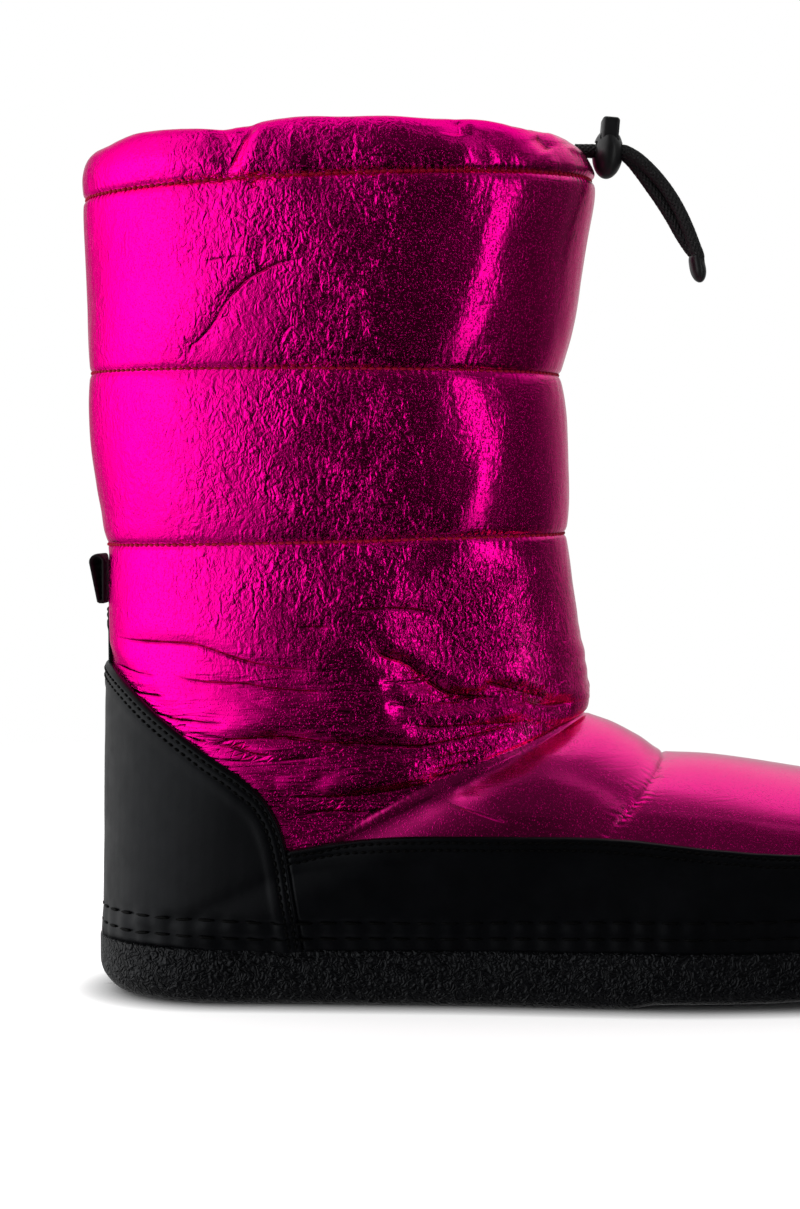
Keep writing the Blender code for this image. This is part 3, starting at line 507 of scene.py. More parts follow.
def panel_rows(steps):
    """Positions of rows in SECTIONS, closer together at the seams, and the padding's swelling there."""
    places, swelling = [], []
    for (first, last, puff, *_), count in zip(PANELS, steps):
        even = np.arange(count) / count
        share = ROW_CROWD * (1 - np.cos(np.pi * even)) / 2 + (1 - ROW_CROWD) * even
        from_seam = 2 * np.minimum(share, 1 - share)
        power = np.where((first == ANKLE_ROW) & (share < 0.5), INSTEP_POWER, PUFF_POWER)
        places.append(first + (last - first) * share)
        swelling.append(puff * (1 - (1 - from_seam) ** power))
    return np.append(np.concatenate(places), PANELS[-1][1]), np.append(np.concatenate(swelling), 0.0)


def section_side(table, side, columns):
    """Points of one side of every section, from its front to its end."""
    values = (column[:, None] for column in table.T)
    front_x, front_z, end_x, rise, half, widest, front_round, back_round = values
    end_z = feather_edge(end_x) + np.where(rise > 0, rise, -TRIM)
    widest_x = front_x + (end_x - front_x) * widest
    at_sole = np.where(rise > 0, 0.0, half_width(end_x, side, UPPER_INSET))
    mean = (half_width(widest_x, LATERAL, UPPER_INSET) + half_width(widest_x, MEDIAL, UPPER_INSET)) / 2
    lean = half_width(widest_x, side, UPPER_INSET) / np.maximum(mean, FEATHER_GAP)
    full = (at_sole**WIDTH_BLEND + (half * lean) ** WIDTH_BLEND) ** (1 / WIDTH_BLEND)
    full = np.maximum(full, FEATHER_GAP)
    turn = np.linspace(0.0, 1.0, columns // 2 + 1)[None, :]
    quarter = turn * math.pi / 2
    before = widest * (1 - np.maximum(np.cos(quarter), 0.0) ** (2 / front_round))
    out_before = full * np.sin(quarter) ** (2 / front_round)
    open_share = at_sole / full
    back = (1 - open_share) * np.sin(quarter) ** (2 / back_round) + open_share * turn
    behind = widest + (1 - widest) * back
    left_over = np.maximum(1 - back**back_round * (1 - open_share**back_round), 0.0)
    out_behind = full * left_over ** (1 / back_round)
    share = np.hstack([before, behind[:, 1:]])
    out = np.hstack([out_before, out_behind[:, 1:]])
    x = front_x + (end_x - front_x) * share
    z = front_z + (end_z - front_z) * share
    return np.stack([x, centre_line(x) + side * out, z], axis=-1)


def boot_surface(places, columns):
    """Points on the smooth boot and its normals: rows from toe to rim, columns round it from its back."""
    table = smooth_rows(np.arange(len(SECTIONS)), SECTIONS, places)
    lateral = section_side(table, LATERAL, columns)
    medial = section_side(table, MEDIAL, columns)
    grid = np.concatenate([lateral[:, ::-1], medial[:, 1:]], axis=1)
    normals = np.cross(np.gradient(grid, axis=1), np.gradient(grid, axis=0))
    normals /= np.linalg.norm(normals, axis=-1, keepdims=True)
    closed = closed_rows(grid)
    shared = normals[closed, 0] + normals[closed, -1]
    normals[closed, 0] = normals[closed, -1] = shared / np.linalg.norm(shared, axis=-1, keepdims=True)
    return grid, normals


def closed_rows(grid):
    return np.linalg.norm(grid[:, 0] - grid[:, -1], axis=-1) < WELD


def cover_fade(grid):
    """0 under the overlays, rising to 1 clear of them."""
    return smooth_step((grid[..., 2] - cover_height(grid[..., 0])) / COVER_FADE)


def hollow(grid):
    """How far the padding lies in before the ankle."""
    x, z = grid[..., 0], grid[..., 2]
    along_boot = ramp(x, *HOLLOW_BACK) * ramp(x, *HOLLOW_FRONT)
    return HOLLOW_DEPTH * along_boot * np.exp(-(((z - HOLLOW_HEIGHT) / HOLLOW_REACH) ** 2))


def back_swelling(grid):
    """Share of the padding's swelling, less along the shaft's back above the pull loop."""
    back = 1 - ramp(grid[..., 0], *BACK_STATIONS)
    return 1 - (1 - BACK_SWELL) * back * ramp(grid[..., 2], *BACK_HEIGHTS)


def panel_places(grid, places):
    """Each point's position in SECTIONS, with the ankle seam raised at the sides."""
    lift = SEAM_LIFT * np.exp(-(((grid[..., 0] - RAISED_STATION) / RAISED_REACH) ** 2))
    weight = ramp(places, *RAISED_FROM) * ramp(places, *RAISED_TO)
    return places[:, None] - lift * weight[:, None]


def from_back(round_boot):
    """Distance round the boot of each point from the end of its row at the back."""
    return np.minimum(np.abs(round_boot - round_boot[:, :1]), np.abs(round_boot - round_boot[:, -1:]))


def under_backstay(grid, round_boot):
    """1 where the backstay and the pull loop hold the foil down, falling to 0 beside them."""
    z = grid[..., 2]
    level = ramp(z, BACKSTAY_FOOT - HELD_BELOW, BACKSTAY_FOOT)
    level = level * ramp(z, *(BACKSTAY_TOP + above for above in HELD_ABOVE))
    return level * ramp(from_back(round_boot), *(BACKSTAY_WIDTH / 2 + beside for beside in HELD_BESIDE))


def soft_noise(u, v, seed):
    """Smooth noise of about -1 to 1 over a plane, from a seeded lattice of slopes."""
    angles = np.random.default_rng(seed).uniform(0.0, 2 * math.pi, (NOISE_CELLS, NOISE_CELLS))
    column, row = np.floor(u).astype(int), np.floor(v).astype(int)
    part_u, part_v = u - column, v - row

    def corner(step_u, step_v):
        angle = angles[(column + step_u) % NOISE_CELLS, (row + step_v) % NOISE_CELLS]
        return np.cos(angle) * (part_u - step_u) + np.sin(angle) * (part_v - step_v)

    blend_u = part_u**3 * (part_u * (part_u * 6 - 15) + 10)
    blend_v = part_v**3 * (part_v * (part_v * 6 - 15) + 10)
    low = corner(0, 0) * (1 - blend_u) + corner(1, 0) * blend_u
    high = corner(0, 1) * (1 - blend_u) + corner(1, 1) * blend_u
    return NOISE_SCALE * (low * (1 - blend_v) + high * blend_v)


# Meshes

def placed(points):
    """Points in the frame's metres."""
    return (np.asarray(points) + (HEEL_X, MIDDLE_Y, 0.0)) * MM


def grid_faces(index):
    corners = (index[:-1, :-1], index[:-1, 1:], index[1:, 1:], index[1:, :-1])
    return np.stack(corners, axis=-1).reshape(-1, 4).tolist()


def seam_faces(fine, coarse, ratio):
    """Faces between two edges, the first with ratio times as many steps as the second."""
    faces = []
    for step in range(len(coarse) - 1):
        between = fine[step * ratio:(step + 1) * ratio + 1].tolist()
        faces.append([int(coarse[step])] + between + [int(coarse[step + 1])])
    return faces


def closed_sheet(outer, inner):
    """Points and faces of a solid between two grids of one size, joined along their four edges."""
    rows, columns = outer.shape[:2]
    index = np.arange(rows * columns).reshape(rows, columns)
    border = np.concatenate([index[0], index[1:, -1], index[-1, -2::-1], index[-2::-1, 0]])
    below = rows * columns
    faces = grid_faces(index) + grid_faces(index + below) + grid_faces(np.stack([border, border + below]))
    return np.concatenate([outer.reshape(-1, 3), inner.reshape(-1, 3)]), faces


def boot_shell(outer, inner, first_closed, row_ratio, column_ratio):
    """A wall between two boot grids, the inner one coarser, open below its first closed row."""
    index = np.arange(outer.shape[0] * outer.shape[1]).reshape(outer.shape[:2])
    within = index.size + np.arange(inner.shape[0] * inner.shape[1]).reshape(inner.shape[:2])
    last = first_closed // row_ratio
    faces = grid_faces(index) + grid_faces(within)
    faces += seam_faces(index[0], within[0], column_ratio) + seam_faces(index[-1], within[-1], column_ratio)
    for column in (0, -1):
        faces += seam_faces(index[:first_closed + 1, column], within[:last + 1, column], row_ratio)
    return np.concatenate([outer.reshape(-1, 3), inner.reshape(-1, 3)]), faces


def tube(rings):
    """Points and faces of a closed tube through rings of points, with its ends capped."""
    count, around = rings.shape[:2]
    index = np.arange(count * around).reshape(count, around)
    faces = grid_faces(np.concatenate([index, index[:, :1]], axis=1))
    faces += [index[0].tolist(), index[-1].tolist()]
    return rings.reshape(-1, 3), faces


def new_object(name, mesh, material):
    obj = bpy.data.objects.new(name, mesh)
    bpy.context.scene.collection.objects.link(obj)
    mesh.materials.clear()
    mesh.materials.append(material)
    return obj


def finish_mesh(mesh):
    """Merges doubles, turns all faces outwards and shades them smooth."""
    work = bmesh.new()
    work.from_mesh(mesh)
    bmesh.ops.remove_doubles(work, verts=work.verts, dist=WELD * MM)
    bmesh.ops.recalc_face_normals(work, faces=work.faces)
    work.to_mesh(mesh)
    work.free()
    mesh.shade_smooth()


def new_piece(name, points, faces, material, values=None, cloth=None):
    """A closed mesh, with named values on its points and places on its cloth where it has them."""
    mesh = bpy.data.meshes.new(name)
    mesh.from_pydata(placed(points).tolist(), [], faces)
    for key, field in (values or {}).items():
        mesh.attributes.new(key, "FLOAT", "POINT").data.foreach_set("value", field.astype(np.float32))
    if cloth is not None:
        corners = np.zeros(len(mesh.loops), np.int32)
        mesh.loops.foreach_get("vertex_index", corners)
        mesh.uv_layers.new(name=CLOTH_MAP).data.foreach_set("uv", cloth[corners].astype(np.float32).ravel())
    finish_mesh(mesh)
    return new_object(name, mesh, material)


def evaluated_mesh(obj):
    """The object's mesh with its modifiers applied, as a mesh of its own."""
    bpy.context.view_layer.update()
    graph = bpy.context.evaluated_depsgraph_get()
    return bpy.data.meshes.new_from_object(obj.evaluated_get(graph))


def attach(obj, slot, *nodes, body=BOOT):
    """Puts a finished piece on its body and hides the nodes that it stands for. Its material slot is not
    used.
    """
    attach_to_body(obj, body)
    if nodes:
        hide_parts(*nodes)


# Materials

def new_material(name, colour, roughness, metallic=0.0, more=None):
    material = bpy.data.materials.new(name)
    material.use_nodes = True
    shader = material.node_tree.nodes["Principled BSDF"]
    shader.inputs["Base Color"].default_value = (*colour, 1.0)
    shader.inputs["Roughness"].default_value = roughness
    shader.inputs["Metallic"].default_value = metallic
    for socket, value in (more or {}).items():
        shader.inputs[socket].default_value = value
    return material


def add_node(material, kind, inputs=None, **settings):
    """A node of a material or of the world, with its inputs linked or set."""
    node = material.node_tree.nodes.new(kind)
    for setting, value in settings.items():
        setattr(node, setting, value)
    for socket, value in (inputs or {}).items():
        if isinstance(value, bpy.types.NodeSocket):
            material.node_tree.links.new(value, node.inputs[socket])
        else:
            node.inputs[socket].default_value = value
    return node


def object_coordinates(material, stretch=(1.0, 1.0, 1.0)):
    """Object coordinates in metres, squeezed along each axis by a factor."""
    source = add_node(material, "ShaderNodeTexCoord")
    inputs = {"Vector": source.outputs["Object"], "Scale": stretch}
    return add_node(material, "ShaderNodeMapping", inputs).outputs["Vector"]


def noise(material, vector, size, detail, roughness=0.55, distortion=0.0):
    """Noise with features of about a size in millimetres."""
    node = add_node(material, "ShaderNodeTexNoise", {
        "Vector": vector, "Scale": 1 / (size * MM), "Detail": detail, "Roughness": roughness,
        "Distortion": distortion,
    })
    return node.outputs["Fac"]


def calculate(material, operation, *values):
    node = add_node(material, "ShaderNodeMath", dict(enumerate(values)), operation=operation)
    return node.outputs["Value"]


def spread(material, value, low, high, start=0.0, end=1.0):
    """A value from start to end, mapped to low to high."""
    node = add_node(material, "ShaderNodeMapRange", {
        "Value": value, "From Min": start, "From Max": end, "To Min": low, "To Max": high,
    })
    return node.outputs["Result"]


def relief(material, height, depth, strength=1.0, under=None):
    """A bump of a depth in millimetres, over an earlier one."""
    inputs = {"Height": height, "Distance": depth * MM, "Strength": strength}
    if under is not None:
        inputs["Normal"] = under
    return add_node(material, "ShaderNodeBump", inputs).outputs["Normal"]


def link_shader(material, **outputs):
    shader = material.node_tree.nodes["Principled BSDF"]
    for socket, output in outputs.items():
        material.node_tree.links.new(output, shader.inputs[socket.replace("_", " ").title()])


def tinted(material, value, dark, light):
    node = add_node(material, "ShaderNodeMix", {"Factor": value}, data_type="RGBA")
    colours = [socket for socket in node.inputs if socket.type == "RGBA"]
    colours[0].default_value = (*dark, 1.0)
    colours[1].default_value = (*light, 1.0)
    return next(socket for socket in node.outputs if socket.type == "RGBA")


def shade(colour, factor):
    return tuple(min(1.0, channel * factor) for channel in colour)


def attribute(material, name):
    return add_node(material, "ShaderNodeAttribute", attribute_name=name).outputs["Fac"]


def crinkles(material, vector):
    """Small creases of two sizes between soft cells."""
    layers = []
    for size in CRINKLE_SIZES:
        waves = noise(material, vector, size, detail=1.0, roughness=0.5, distortion=0.5)
        layers.append(calculate(material, "ABSOLUTE", calculate(material, "SUBTRACT", waves, 0.5)))
    coarse = calculate(material, "MULTIPLY", layers[0], CRINKLE_DEPTHS[0])
    return calculate(material, "MULTIPLY_ADD", layers[1], CRINKLE_DEPTHS[1], coarse)


def sharp_creases(material, even):
    """Thin lines along the folds, of uneven depth, giving both the creases' relief and the mask of the
    shade painted into them.
    """
    gap = calculate(material, "DIVIDE", attribute(material, "fold_gap"), CREASE_WIDTH)
    square = calculate(material, "MULTIPLY", gap, gap)
    line = calculate(material, "EXPONENT", calculate(material, "MULTIPLY", square, -1.0))
    line = calculate(material, "MULTIPLY", line, attribute(material, "crease_depth_and_shade"))
    uneven = noise(material, even, size=9.0, detail=2.0)
    return calculate(material, "MULTIPLY", line, spread(material, uneven, 0.5, 1.1, start=0.35, end=0.65))


def seam_puckers(material, even, height):
    """A height with puckers added along the seams, from stitch to stitch."""
    cloth = add_node(material, "ShaderNodeUVMap", uv_map=CLOTH_MAP).outputs["UV"]
    along_seam = add_node(material, "ShaderNodeSeparateXYZ", {"Vector": cloth}).outputs["X"]
    turn = calculate(material, "MULTIPLY", along_seam, 2 * math.pi / (PUCKER_PITCH * MM))
    stray = noise(material, even, size=9.0, detail=1.0)
    turn = calculate(material, "MULTIPLY_ADD", stray, PUCKER_STRAY, turn)
    gathered = spread(material, noise(material, even, size=5.0, detail=1.0), 0.0, 1.2, start=0.4, end=0.65)
    puckers = calculate(material, "MULTIPLY", gathered, attribute(material, "pucker"))
    return calculate(material, "MULTIPLY_ADD", calculate(material, "SINE", turn), puckers, height)


def foil_material(colour):
    """Thin metal film on cloth: small crumples, crisp creases along the folds with shade painted darker
    into them, puckers beside the seams.
    """
    material = new_material("Foil film", colour, roughness=0.15, metallic=1.0, more={
        "Specular Tint": FOIL_EDGE, "Coat Roughness": 0.2, "Coat IOR": 1.33,
    })
    even = object_coordinates(material)
    lying = add_node(material, "ShaderNodeMix", {
        "Factor": attribute(material, "level"),
        "A": crinkles(material, object_coordinates(material, UPRIGHT_STRETCH)),
        "B": crinkles(material, object_coordinates(material, LEVEL_STRETCH)),
    })
    slack = attribute(material, "crumple")
    patches = spread(material, noise(material, even, size=15.0, detail=2.0), 0.4, 1.3, start=0.35, end=0.65)
    height = calculate(material, "MULTIPLY", lying.outputs["Result"], patches)
    height = calculate(material, "MULTIPLY", height, slack)
    grains = spread(material, noise(material, even, size=0.5, detail=1.0), 0.02, 0.11, start=0.58, end=0.8)
    grains = calculate(material, "MULTIPLY", grains, spread(material, slack, 0.55, 1.0, start=0.1, end=0.5))
    height = calculate(material, "ADD", grains, height)
    crease = sharp_creases(material, even)
    height = calculate(material, "SUBTRACT", height, crease)
    height = seam_puckers(material, even, height)
    # Painted shade: the foil's colour is darkened along the creases, where the folded film shades itself
    dark = spread(material, crease, 0.0, 0.7, start=0.1, end=0.6)
    worn = spread(material, noise(material, even, size=9.0, detail=4.0), 0.1, 0.16, start=0.3, end=0.7)
    gloss = attribute(material, "gloss")
    link_shader(
        material,
        base_color=tinted(material, dark, colour, shade(colour, PAINTED_CREASE_SHADE)),
        roughness=calculate(material, "MULTIPLY_ADD", gloss, GLOSS_BLUR, worn),
        normal=relief(material, height, depth=1.0),
        coat_weight=gloss,
    )
    return material


def overlay_material(colour):
    material = new_material("Smooth coated overlay", colour, roughness=0.38, more={
        "Specular IOR Level": 0.14, "Specular Tint": COOL,
    })
    even = object_coordinates(material)
    grain = relief(material, noise(material, even, size=0.7, detail=3.0), depth=0.05, strength=0.5)
    swell = noise(material, even, size=9.0, detail=2.0)
    tone = spread(material, noise(material, even, size=15.0, detail=4.0), 0.0, 1.0, start=0.3, end=0.7)
    worn = noise(material, even, size=6.0, detail=5.0)
    link_shader(
        material,
        base_color=tinted(material, tone, shade(colour, 0.75), shade(colour, 1.3)),
        roughness=spread(material, worn, 0.32, 0.44, start=0.3, end=0.7),
        normal=relief(material, swell, depth=0.25, strength=0.4, under=grain),
    )
    return material


def rubber_material(colour):
    material = new_material("Pebbled rubber", colour, roughness=0.45, more={
        "Specular IOR Level": 0.17, "Specular Tint": COOL,
    })
    even = object_coordinates(material)
    worms = noise(material, even, size=2.5, detail=1.0, roughness=0.5, distortion=1.0)
    height = calculate(material, "ABSOLUTE", spread(material, worms, -1.0, 1.0, start=0.3, end=0.7))
    tone = spread(material, noise(material, even, size=8.0, detail=4.0), 0.0, 1.0, start=0.3, end=0.7)
    worn = noise(material, even, size=3.0, detail=4.0)
    link_shader(
        material,
        base_color=tinted(material, tone, shade(colour, 0.75), shade(colour, 1.3)),
        roughness=spread(material, worn, 0.28, 0.4, start=0.3, end=0.7),
        normal=relief(material, height, depth=0.7),
    )
    return material


def felt_material(colour):
    material = new_material("Fleece and felt", colour, roughness=0.95, more={"Sheen Weight": 0.15})
    even = object_coordinates(material)
    pile = noise(material, even, size=1.6, detail=5.0, roughness=0.7)
    tufts = noise(material, even, size=2.5, detail=5.0, roughness=0.7)
    tone = spread(material, tufts, 0.0, 1.0, start=0.3, end=0.7)
    link_shader(
        material,
        base_color=tinted(material, tone, shade(colour, 0.5), shade(colour, 1.7)),
        normal=relief(material, pile, depth=0.8, strength=0.8),
    )
    return material


def webbing_material(colour):
    material = new_material("Woven tape", colour, roughness=0.8, more={"Specular IOR Level": 0.3})
    even = object_coordinates(material)
    wefts = add_node(material, "ShaderNodeTexWave", {"Vector": even, "Scale": 140.0}, bands_direction="Z")
    warps = add_node(material, "ShaderNodeTexWave", {"Vector": even, "Scale": 190.0}, bands_direction="Y")
    height = calculate(material, "MULTIPLY", wefts.outputs["Fac"], warps.outputs["Fac"])
    link_shader(
        material,
        base_color=tinted(material, height, shade(colour, 0.6), shade(colour, 1.6)),
        normal=relief(material, height, depth=0.25, strength=0.8),
    )
    return material


def thread_material(name, colour, gloss):
    material = new_material(name, colour, roughness=0.6, more={"Specular IOR Level": gloss})
    fibres = noise(material, object_coordinates(material), size=0.3, detail=3.0)
    link_shader(
        material,
        base_color=tinted(material, fibres, shade(colour, 0.7), shade(colour, 1.2)),
        normal=relief(material, fibres, depth=0.08, strength=0.6),
    )
    return material


def plastic_material(colour):
    material = new_material("Moulded plastic", colour, roughness=0.35)
    even = object_coordinates(material)
    worn = noise(material, even, size=1.2, detail=4.0)
    tone = noise(material, even, size=4.0, detail=4.0)
    grain = noise(material, even, size=0.5, detail=2.0)
    link_shader(
        material,
        base_color=tinted(material, tone, shade(colour, 0.8), shade(colour, 1.25)),
        roughness=spread(material, worn, 0.28, 0.44, start=0.3, end=0.7),
        normal=relief(material, grain, depth=0.04, strength=0.5),
    )
    return material


# Overlays are laid out on the smooth boot, unrolled

class BootPlan:
    """The smooth boot unrolled: reach runs round the sole's edge from the toe, rise is the height over the
    feather edge."""

    def __init__(self):
        places, _ = panel_rows(PLAN_STEPS)
        grid, _ = boot_surface(places, PLAN_COLUMNS)
        index = np.arange(grid.shape[0] * grid.shape[1]).reshape(grid.shape[:2])
        tree = BVHTree.FromPolygons(grid.reshape(-1, 3).tolist(), grid_faces(index))
        turns = np.linspace(0.0, 2 * math.pi, PLAN_STATIONS, endpoint=False)
        self.half = PLAN_STATIONS // 2
        x = UPPER_INSET + (SOLE_LENGTH - 2 * UPPER_INSET) * (1 + np.cos(turns)) / 2
        lateral = centre_line(x) - half_width(x, LATERAL, UPPER_INSET)
        medial = centre_line(x) + half_width(x, MEDIAL, UPPER_INSET)
        edge = np.stack([x, np.where(turns <= math.pi, lateral, medial)], axis=-1)
        self.reach = lengths(np.concatenate([edge, edge[:1]]))
        self.heel = self.reach[self.half]
        self.rises = np.arange(RISE_LOW, RISE_TOP, RISE_STEP)
        spine = np.clip(x, *PLAN_SPINE)
        start = np.stack([spine, centre_line(spine)], axis=-1)
        self.points = np.zeros((PLAN_STATIONS, len(self.rises), 3))
        self.normals = np.zeros_like(self.points)
        for station in range(PLAN_STATIONS):
            outwards = Vector((*(edge[station] - start[station]), 0.0)).normalized()
            base = float(feather_edge(x[station]))
            for level, rise in enumerate(self.rises):
                found, normal, _, _ = tree.ray_cast(Vector((*start[station], base + rise)), outwards)
                if found is None:
                    self.points[station, level] = self.points[station, level - 1]
                    self.normals[station, level] = self.normals[station, level - 1]
                    continue
                self.points[station, level] = found
                self.normals[station, level] = normal if normal.dot(outwards) > 0 else -normal

    def row(self, rise):
        row = np.clip((np.asarray(rise) - RISE_LOW) / RISE_STEP, 0.0, len(self.rises) - 1.001)
        return np.floor(row).astype(int), row - np.floor(row)

    def at(self, reach, rise):
        """Points and normals of the boot at places on the plan."""
        column = np.interp(np.mod(reach, self.reach[-1]), self.reach, np.arange(PLAN_STATIONS + 1))
        first = np.floor(column).astype(int)
        across = (column - first)[..., None]
        low, up = self.row(rise)
        up = up[..., None]
        near, far = first % PLAN_STATIONS, (first + 1) % PLAN_STATIONS
        found = []
        for values in (self.points, self.normals):
            at_near = values[near, low] * (1 - up) + values[near, low + 1] * up
            at_far = values[far, low] * (1 - up) + values[far, low + 1] * up
            found.append(at_near * (1 - across) + at_far * across)
        points, normals = found
        return points, normals / np.maximum(np.linalg.norm(normals, axis=-1, keepdims=True), WELD)

    def reach_of(self, side, x, rise):
        """Where a point drawn from one side lies round the boot."""
        low, up = self.row(rise)
        stations = self.points[:, low, 0] * (1 - up) + self.points[:, low + 1, 0] * up
        if side == LATERAL:
            return float(np.interp(x, stations[self.half::-1], self.reach[self.half::-1]))
        return float(np.interp(x, stations[self.half:], self.reach[self.half:-1]))


def even_steps(route, count):
    """Points spread evenly along a route."""
    reach = lengths(route)
    at = np.linspace(0.0, reach[-1], count)
    return np.stack([np.interp(at, reach, column) for column in route.T], axis=-1)


def counter_line(plan, count):
    """The counter's edge on the plan, from the sole at the lateral side over the heel to the medial."""
    base = float(feather_edge(0.0))
    edge = smooth_path(COUNTER_EDGE, EDGE_STEP)
    halves = []
    for side in (LATERAL, MEDIAL):
        line = [(plan.reach_of(side, x, z - base), z - base) for x, z in edge]
        behind = [point for point in line if abs(point[0] - plan.heel) < HEEL_NEAR]
        ahead = [point for point in line if abs(point[0] - plan.heel) >= HEEL_NEAR]
        halves.append(np.array([(plan.heel, behind[-1][1])] + ahead))
    return even_steps(np.concatenate([halves[0][::-1], halves[1][1:]]), count)


def rand_line(plan, count):
    """The rand's top edge on the plan, from the counter on the lateral side round the toe to the medial."""
    x, z = RAND_TOP[0]
    first = plan.reach_of(LATERAL, x + RAND_START, z - SOLE_HEIGHT)
    last = plan.reach_of(MEDIAL, x + RAND_START, z - SOLE_HEIGHT)
    reach = np.linspace(first, last - plan.reach[-1], count)
    rise = np.full(count, RAND_GUESS)
    for _ in range(RAND_ROUNDS):
        points, _ = plan.at(reach, rise)
        rise = rise + along(RAND_TOP, points[:, 0])[:, 0] - points[:, 2]
    return np.stack([reach, rise], axis=-1)


def rand_foot(plan, count):
    """The rand's lower edge on the plan, under its top edge."""
    front = COUNTER_EDGE[-1][0] + FEATHER_GAP
    first = plan.reach_of(LATERAL, front, 0.0)
    last = plan.reach_of(MEDIAL, front, 0.0)
    return np.stack([np.linspace(first, last - plan.reach[-1], count), np.full(count, RISE_LOW)], axis=-1)


def from_edge(points, edge):
    """Distance on the plan of each point from an edge."""
    gaps = points[..., None, :] - edge[None, None]
    return np.linalg.norm(gaps, axis=-1).min(axis=-1)


def sunk(distance, sink):
    """A groove of a depth and a width, by the distance from its middle."""
    depth, width = sink
    return depth * np.exp(-((distance / width) ** 2))


def overlay_height(distance, reach, rise, wall):
    """How far an overlay stands out: a rounded, turned edge, sewn down beside it and above the sole."""
    rounded = np.sqrt(1 - (1 - np.clip(distance / EDGE_ROUND, 0.0, 1.0)) ** 2)
    height = wall * rounded + EDGE_BEAD * rounded * ramp(distance, *BEAD_ENDS)
    for line in STITCH_LINES:
        height = height - sunk(distance - line, STITCH_SINK)
    pull = 0.5 + 0.5 * np.cos(2 * math.pi * reach / SCALLOP_PITCH)
    for line in SOLE_LINES:
        height = height - sunk(rise - line, SOLE_SINK)
        height = height - pull * sunk(rise - line + SCALLOP_DROP, (SCALLOP_DEPTH, SCALLOP_REACH))
    return np.maximum(height, EDGE_LEAST)


def overlay_piece(name, plan, top, foot, wall, material):
    share = np.linspace(0.0, 1.0, OVERLAY_ROWS)[:, None, None] ** ROW_POWER
    places = top[None] * (1 - share) + foot[None] * share
    reach, rise = places[..., 0], places[..., 1]
    points, normals = plan.at(reach, rise)
    distance = from_edge(places, even_steps(top, 3 * len(top)))
    dents = soft_noise(reach / OVERLAY_DENT_SIZE[0], rise / OVERLAY_DENT_SIZE[1], SEED)
    height = overlay_height(distance, reach, rise, wall)
    height = height + OVERLAY_DENT * dents * smooth_step(distance / DENT_EDGE)
    outer = points + normals * (OVERLAY_GAP + height)[..., None]
    inner = points + normals * (OVERLAY_GAP / 2)
    return new_piece(name, *closed_sheet(outer, inner), material)


def edge_rows(plan, line, wall):
    """Two rows of points beside an overlay's edge, on its face."""
    rows = []
    slope = np.gradient(line, axis=0)
    inwards = np.stack([slope[:, 1], -slope[:, 0]], axis=-1)
    inwards /= np.linalg.norm(inwards, axis=-1, keepdims=True)
    if inwards[len(line) // 2, 1] > 0:
        inwards = -inwards
    for distance in STITCH_LINES:
        places = line + inwards * distance
        places = places[places[:, 1] > STITCH_FOOT]
        points, normals = plan.at(places[:, 0], places[:, 1])
        rows.append(points + normals * (OVERLAY_GAP + wall + EDGE_BEAD + EDGE_STITCH[2]))
    return rows


# Foil upper

def along_route(points, path):
    """Each point's distance from a route, with its side as a sign, and its share of the way along it."""
    reach = lengths(path)
    gap = np.full(len(points), np.inf)
    place = np.zeros(len(points))
    for start, end, before, after in zip(path[:-1], path[1:], reach[:-1], reach[1:]):
        step = end - start
        share = np.clip((points - start) @ step / (step @ step), 0.0, 1.0)
        away = points - start - share[:, None] * step
        side = np.where(step[0] * away[:, 1] > step[1] * away[:, 0], 1.0, -1.0)
        signed = np.linalg.norm(away, axis=1) * side
        closer = np.abs(signed) < np.abs(gap)
        gap[closer] = signed[closer]
        place[closer] = (before + share * (after - before))[closer] / reach[-1]
    return gap, place


def fold_fields(x, z, shift):
    """Relief of the folds at points seen from a side, the gap to the nearest crease and its depth, which
    also sets the shade painted into the crease.
    """
    total = np.zeros_like(x)
    nearest = np.full_like(x, np.inf)
    deepest = np.zeros_like(x)
    for depth, crease, route in FOLDS:
        path = smooth_path(np.array(route) + (shift, 0.0), FOLD_STEP)
        low = path.min(axis=0) - FOLD_REACH * FOLD_WIDTH
        high = path.max(axis=0) + FOLD_REACH * FOLD_WIDTH
        near = (x > low[0]) & (x < high[0]) & (z > low[1]) & (z < high[1])
        if not near.any():
            continue
        gap, place = along_route(np.stack([x[near], z[near]], axis=-1), path)
        taper = smooth_step(place / FOLD_TAPER) * smooth_step((1 - place) / FOLD_TAPER)
        trough = -np.exp(-((gap / FOLD_WIDTH) ** 2))
        lean = FOLD_LEAN * np.tanh(gap / FOLD_WIDTH) * np.exp(-np.abs(gap) / (FOLD_LIP * FOLD_WIDTH))
        total[near] += depth * (FOLD_ENDS + (1 - FOLD_ENDS) * taper) * (trough + lean)
        if not crease:
            continue
        closer = np.abs(gap) < np.abs(nearest[near])
        nearest[near] = np.where(closer, gap, nearest[near])
        fade = 1 - ramp(np.abs(gap), *CREASE_FADE)
        deepest[near] = np.where(closer, crease * fade * taper, deepest[near])
    return total, np.clip(nearest, -CREASE_FADE[1], CREASE_FADE[1]), deepest


def ridges(waves):
    """Rounded ridges along the zero lines of a noise."""
    return (1 - np.sqrt(waves**2 + RIDGE_ROUND)) ** 2


def panel_values(places, column):
    """One column of PANELS at every row, eased across the seams."""
    ends = [panel[1] for panel in PANELS[:-1]]
    values = np.full_like(places, PANELS[0][column])
    for seam, before, after in zip(ends, PANELS[:-1], PANELS[1:]):
        values += (after[column] - before[column]) * ramp(places, seam - SEAM_EASE, seam + SEAM_EASE)
    return values


def foil_noise(round_boot, upwards, size, seed):
    """Noise on the foil, of a size round and up the boot."""
    return soft_noise(round_boot / size[0], upwards / size[1], seed)


